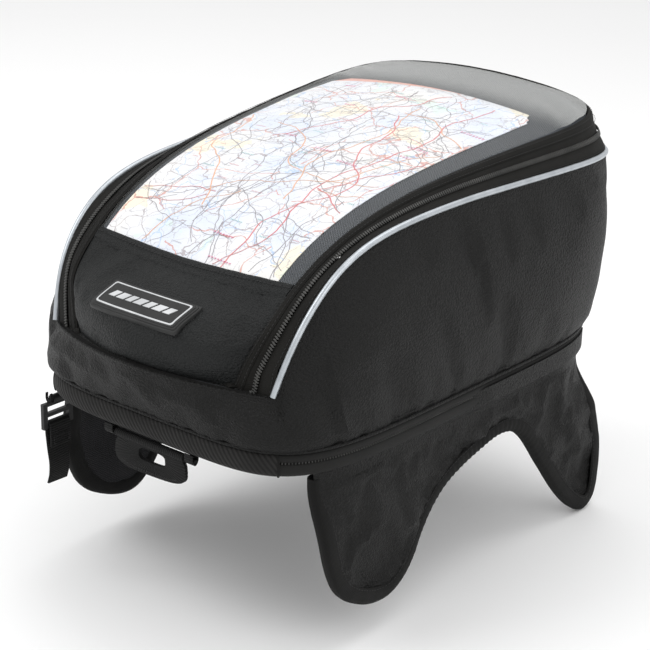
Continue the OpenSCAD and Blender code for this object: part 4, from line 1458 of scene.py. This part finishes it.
def make_strap():
    x, y = STRAP
    low = node_box("tail_strap")[0].z
    bar_z = -24
    wrap = [(x + 0.9 + 2.1, y, bar_z - 16), (x + 2.9, y, bar_z - 6), (x + 2.4, y, bar_z + 1.2),
            (x, y, bar_z + 2.6),
            (x - 2.4, y, bar_z + 1.0), (x - 2.1, y, bar_z - 8), (x - 0.6, y, mix(bar_z, low, 0.42)),
            (x + 0.2, y + 0.6, mix(bar_z, low, 0.62)), (x - 1.0, y + 1.2, mix(bar_z, low, 0.82)),
            (x - 3.2, y + 1.0, low + 1)]
    strip = spline(wrap, 6)
    dress(sweep("strap_webbing", strip, (0, 1, 0), rounded_box(1.7, 19, 0.7)), "webbing", "strap_end",
          "tail_strap")
    box = [(x + 4.2, y - 7, bar_z - 8), (x + 4.2, y + 7, bar_z - 8), (x + 4.2, y + 7, bar_z - 14),
           (x + 4.2, y - 7, bar_z - 14)]
    line = resampled(box, 2.4, closed=True)
    _, t, _, _ = frames_along(line, (1, 0, 0), True)
    dress(beads("strap_stitches", line, t, (1, 0, 0), 1.7, 0.3), "thread", "strap_end")
    keep("ladder_lock", "moulded", 0.5)

    ears = []
    for dy in (-7, 7):
        fold = [(x - 2.2, y + dy, 0.6), (x - 2.3, y + dy, -4), (x, y + dy, -6.6), (x + 2.3, y + dy, -4),
                (x + 2.2, y + dy, 0.6)]
        ears.append(sweep("ear", spline(fold, 5), (0, 1, 0), [(b, a) for a, b in rounded_box(2.2, 0.9, 0.3)]))
    bar = sweep("bar", [(x, y + dy, -4.5) for dy in np.linspace(-8, 8, 12)], (0, 0, 1), circle(1.5, 12))
    dress(joined("strap_tabs", ears + [bar]), "webbing", "bag", "buckle_tab")


# ------------------------------------------------------------------ stage
def make_stage():
    scene = bpy.context.scene
    scene.view_settings.view_transform = "Standard"
    low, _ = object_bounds()
    bpy.ops.mesh.primitive_plane_add(size=30, location=(0, 0, low.z - 0.0005))
    ground = bpy.context.object
    ground.name = "studio_floor"
    floor = Paint("pale_floor", roughness=0.9, specular=0.1)
    floor.colour(floor.ramp(floor.noise(floor.place(), 0.6, 2),
                            [(0.3, (0.90, 0.90, 0.90)), (0.7, (0.93, 0.93, 0.93))]))
    ground.data.materials.append(floor.material)

    world = bpy.data.worlds.new("studio")
    scene.world = world
    world.use_nodes = True
    world.node_tree.nodes["Background"].inputs[0].default_value = (1, 1, 1, 1)
    world.node_tree.nodes["Background"].inputs[1].default_value = 0.85

    def softbox(name, place, aim, size, power):
        data = bpy.data.lights.new(name, "AREA")
        data.shape = "RECTANGLE"
        data.size, data.size_y = size
        data.energy = power
        lamp = bpy.data.objects.new(name, data)
        scene.collection.objects.link(lamp)
        lamp.location = place
        lamp.rotation_euler = (Vector(place) - Vector(aim)).to_track_quat("Z", "Y").to_euler()

    softbox("key_softbox", (-0.9, -1.1, 1.5), (0, 0, 0.08), (1.3, 1.3), 15)
    softbox("top_softbox", (0.1, 0.5, 1.7), (0, 0, 0.1), (1.6, 1.2), 10)
    softbox("side_softbox", (1.7, -0.1, 0.8), (0, 0, 0.05), (1.0, 1.2), 7)

    azimuth, elevation, roll = map(math.radians, (40.128, 21.274, 1.194))
    right = Vector((math.cos(azimuth), math.sin(azimuth), 0))
    back = Vector((math.sin(azimuth) * math.cos(elevation), -math.cos(azimuth) * math.cos(elevation),
                   math.sin(elevation)))
    up = back.cross(right)
    turned = right * math.cos(roll) + up * math.sin(roll)
    raised = up * math.cos(roll) - right * math.sin(roll)
    data = bpy.data.cameras.new("camera")
    data.lens = 100.66
    data.sensor_width = 36
    data.shift_x = 0.0311
    data.shift_y = 0.0274
    camera = bpy.data.objects.new("camera", data)
    scene.collection.objects.link(camera)
    camera.matrix_world = Matrix((turned, raised, back)).transposed().to_4x4()
    camera.location = (0.7967, -0.9724, 0.5065)
    scene.camera = camera


make_walls()
make_hem()
make_base()
make_piping_and_zip()
make_lid()
make_badge()
make_crease_gussets()
make_map()
make_sliders()
make_flap("right", 1)
make_flap("left", -1)
make_carry_loop()
make_strap()
make_stage()
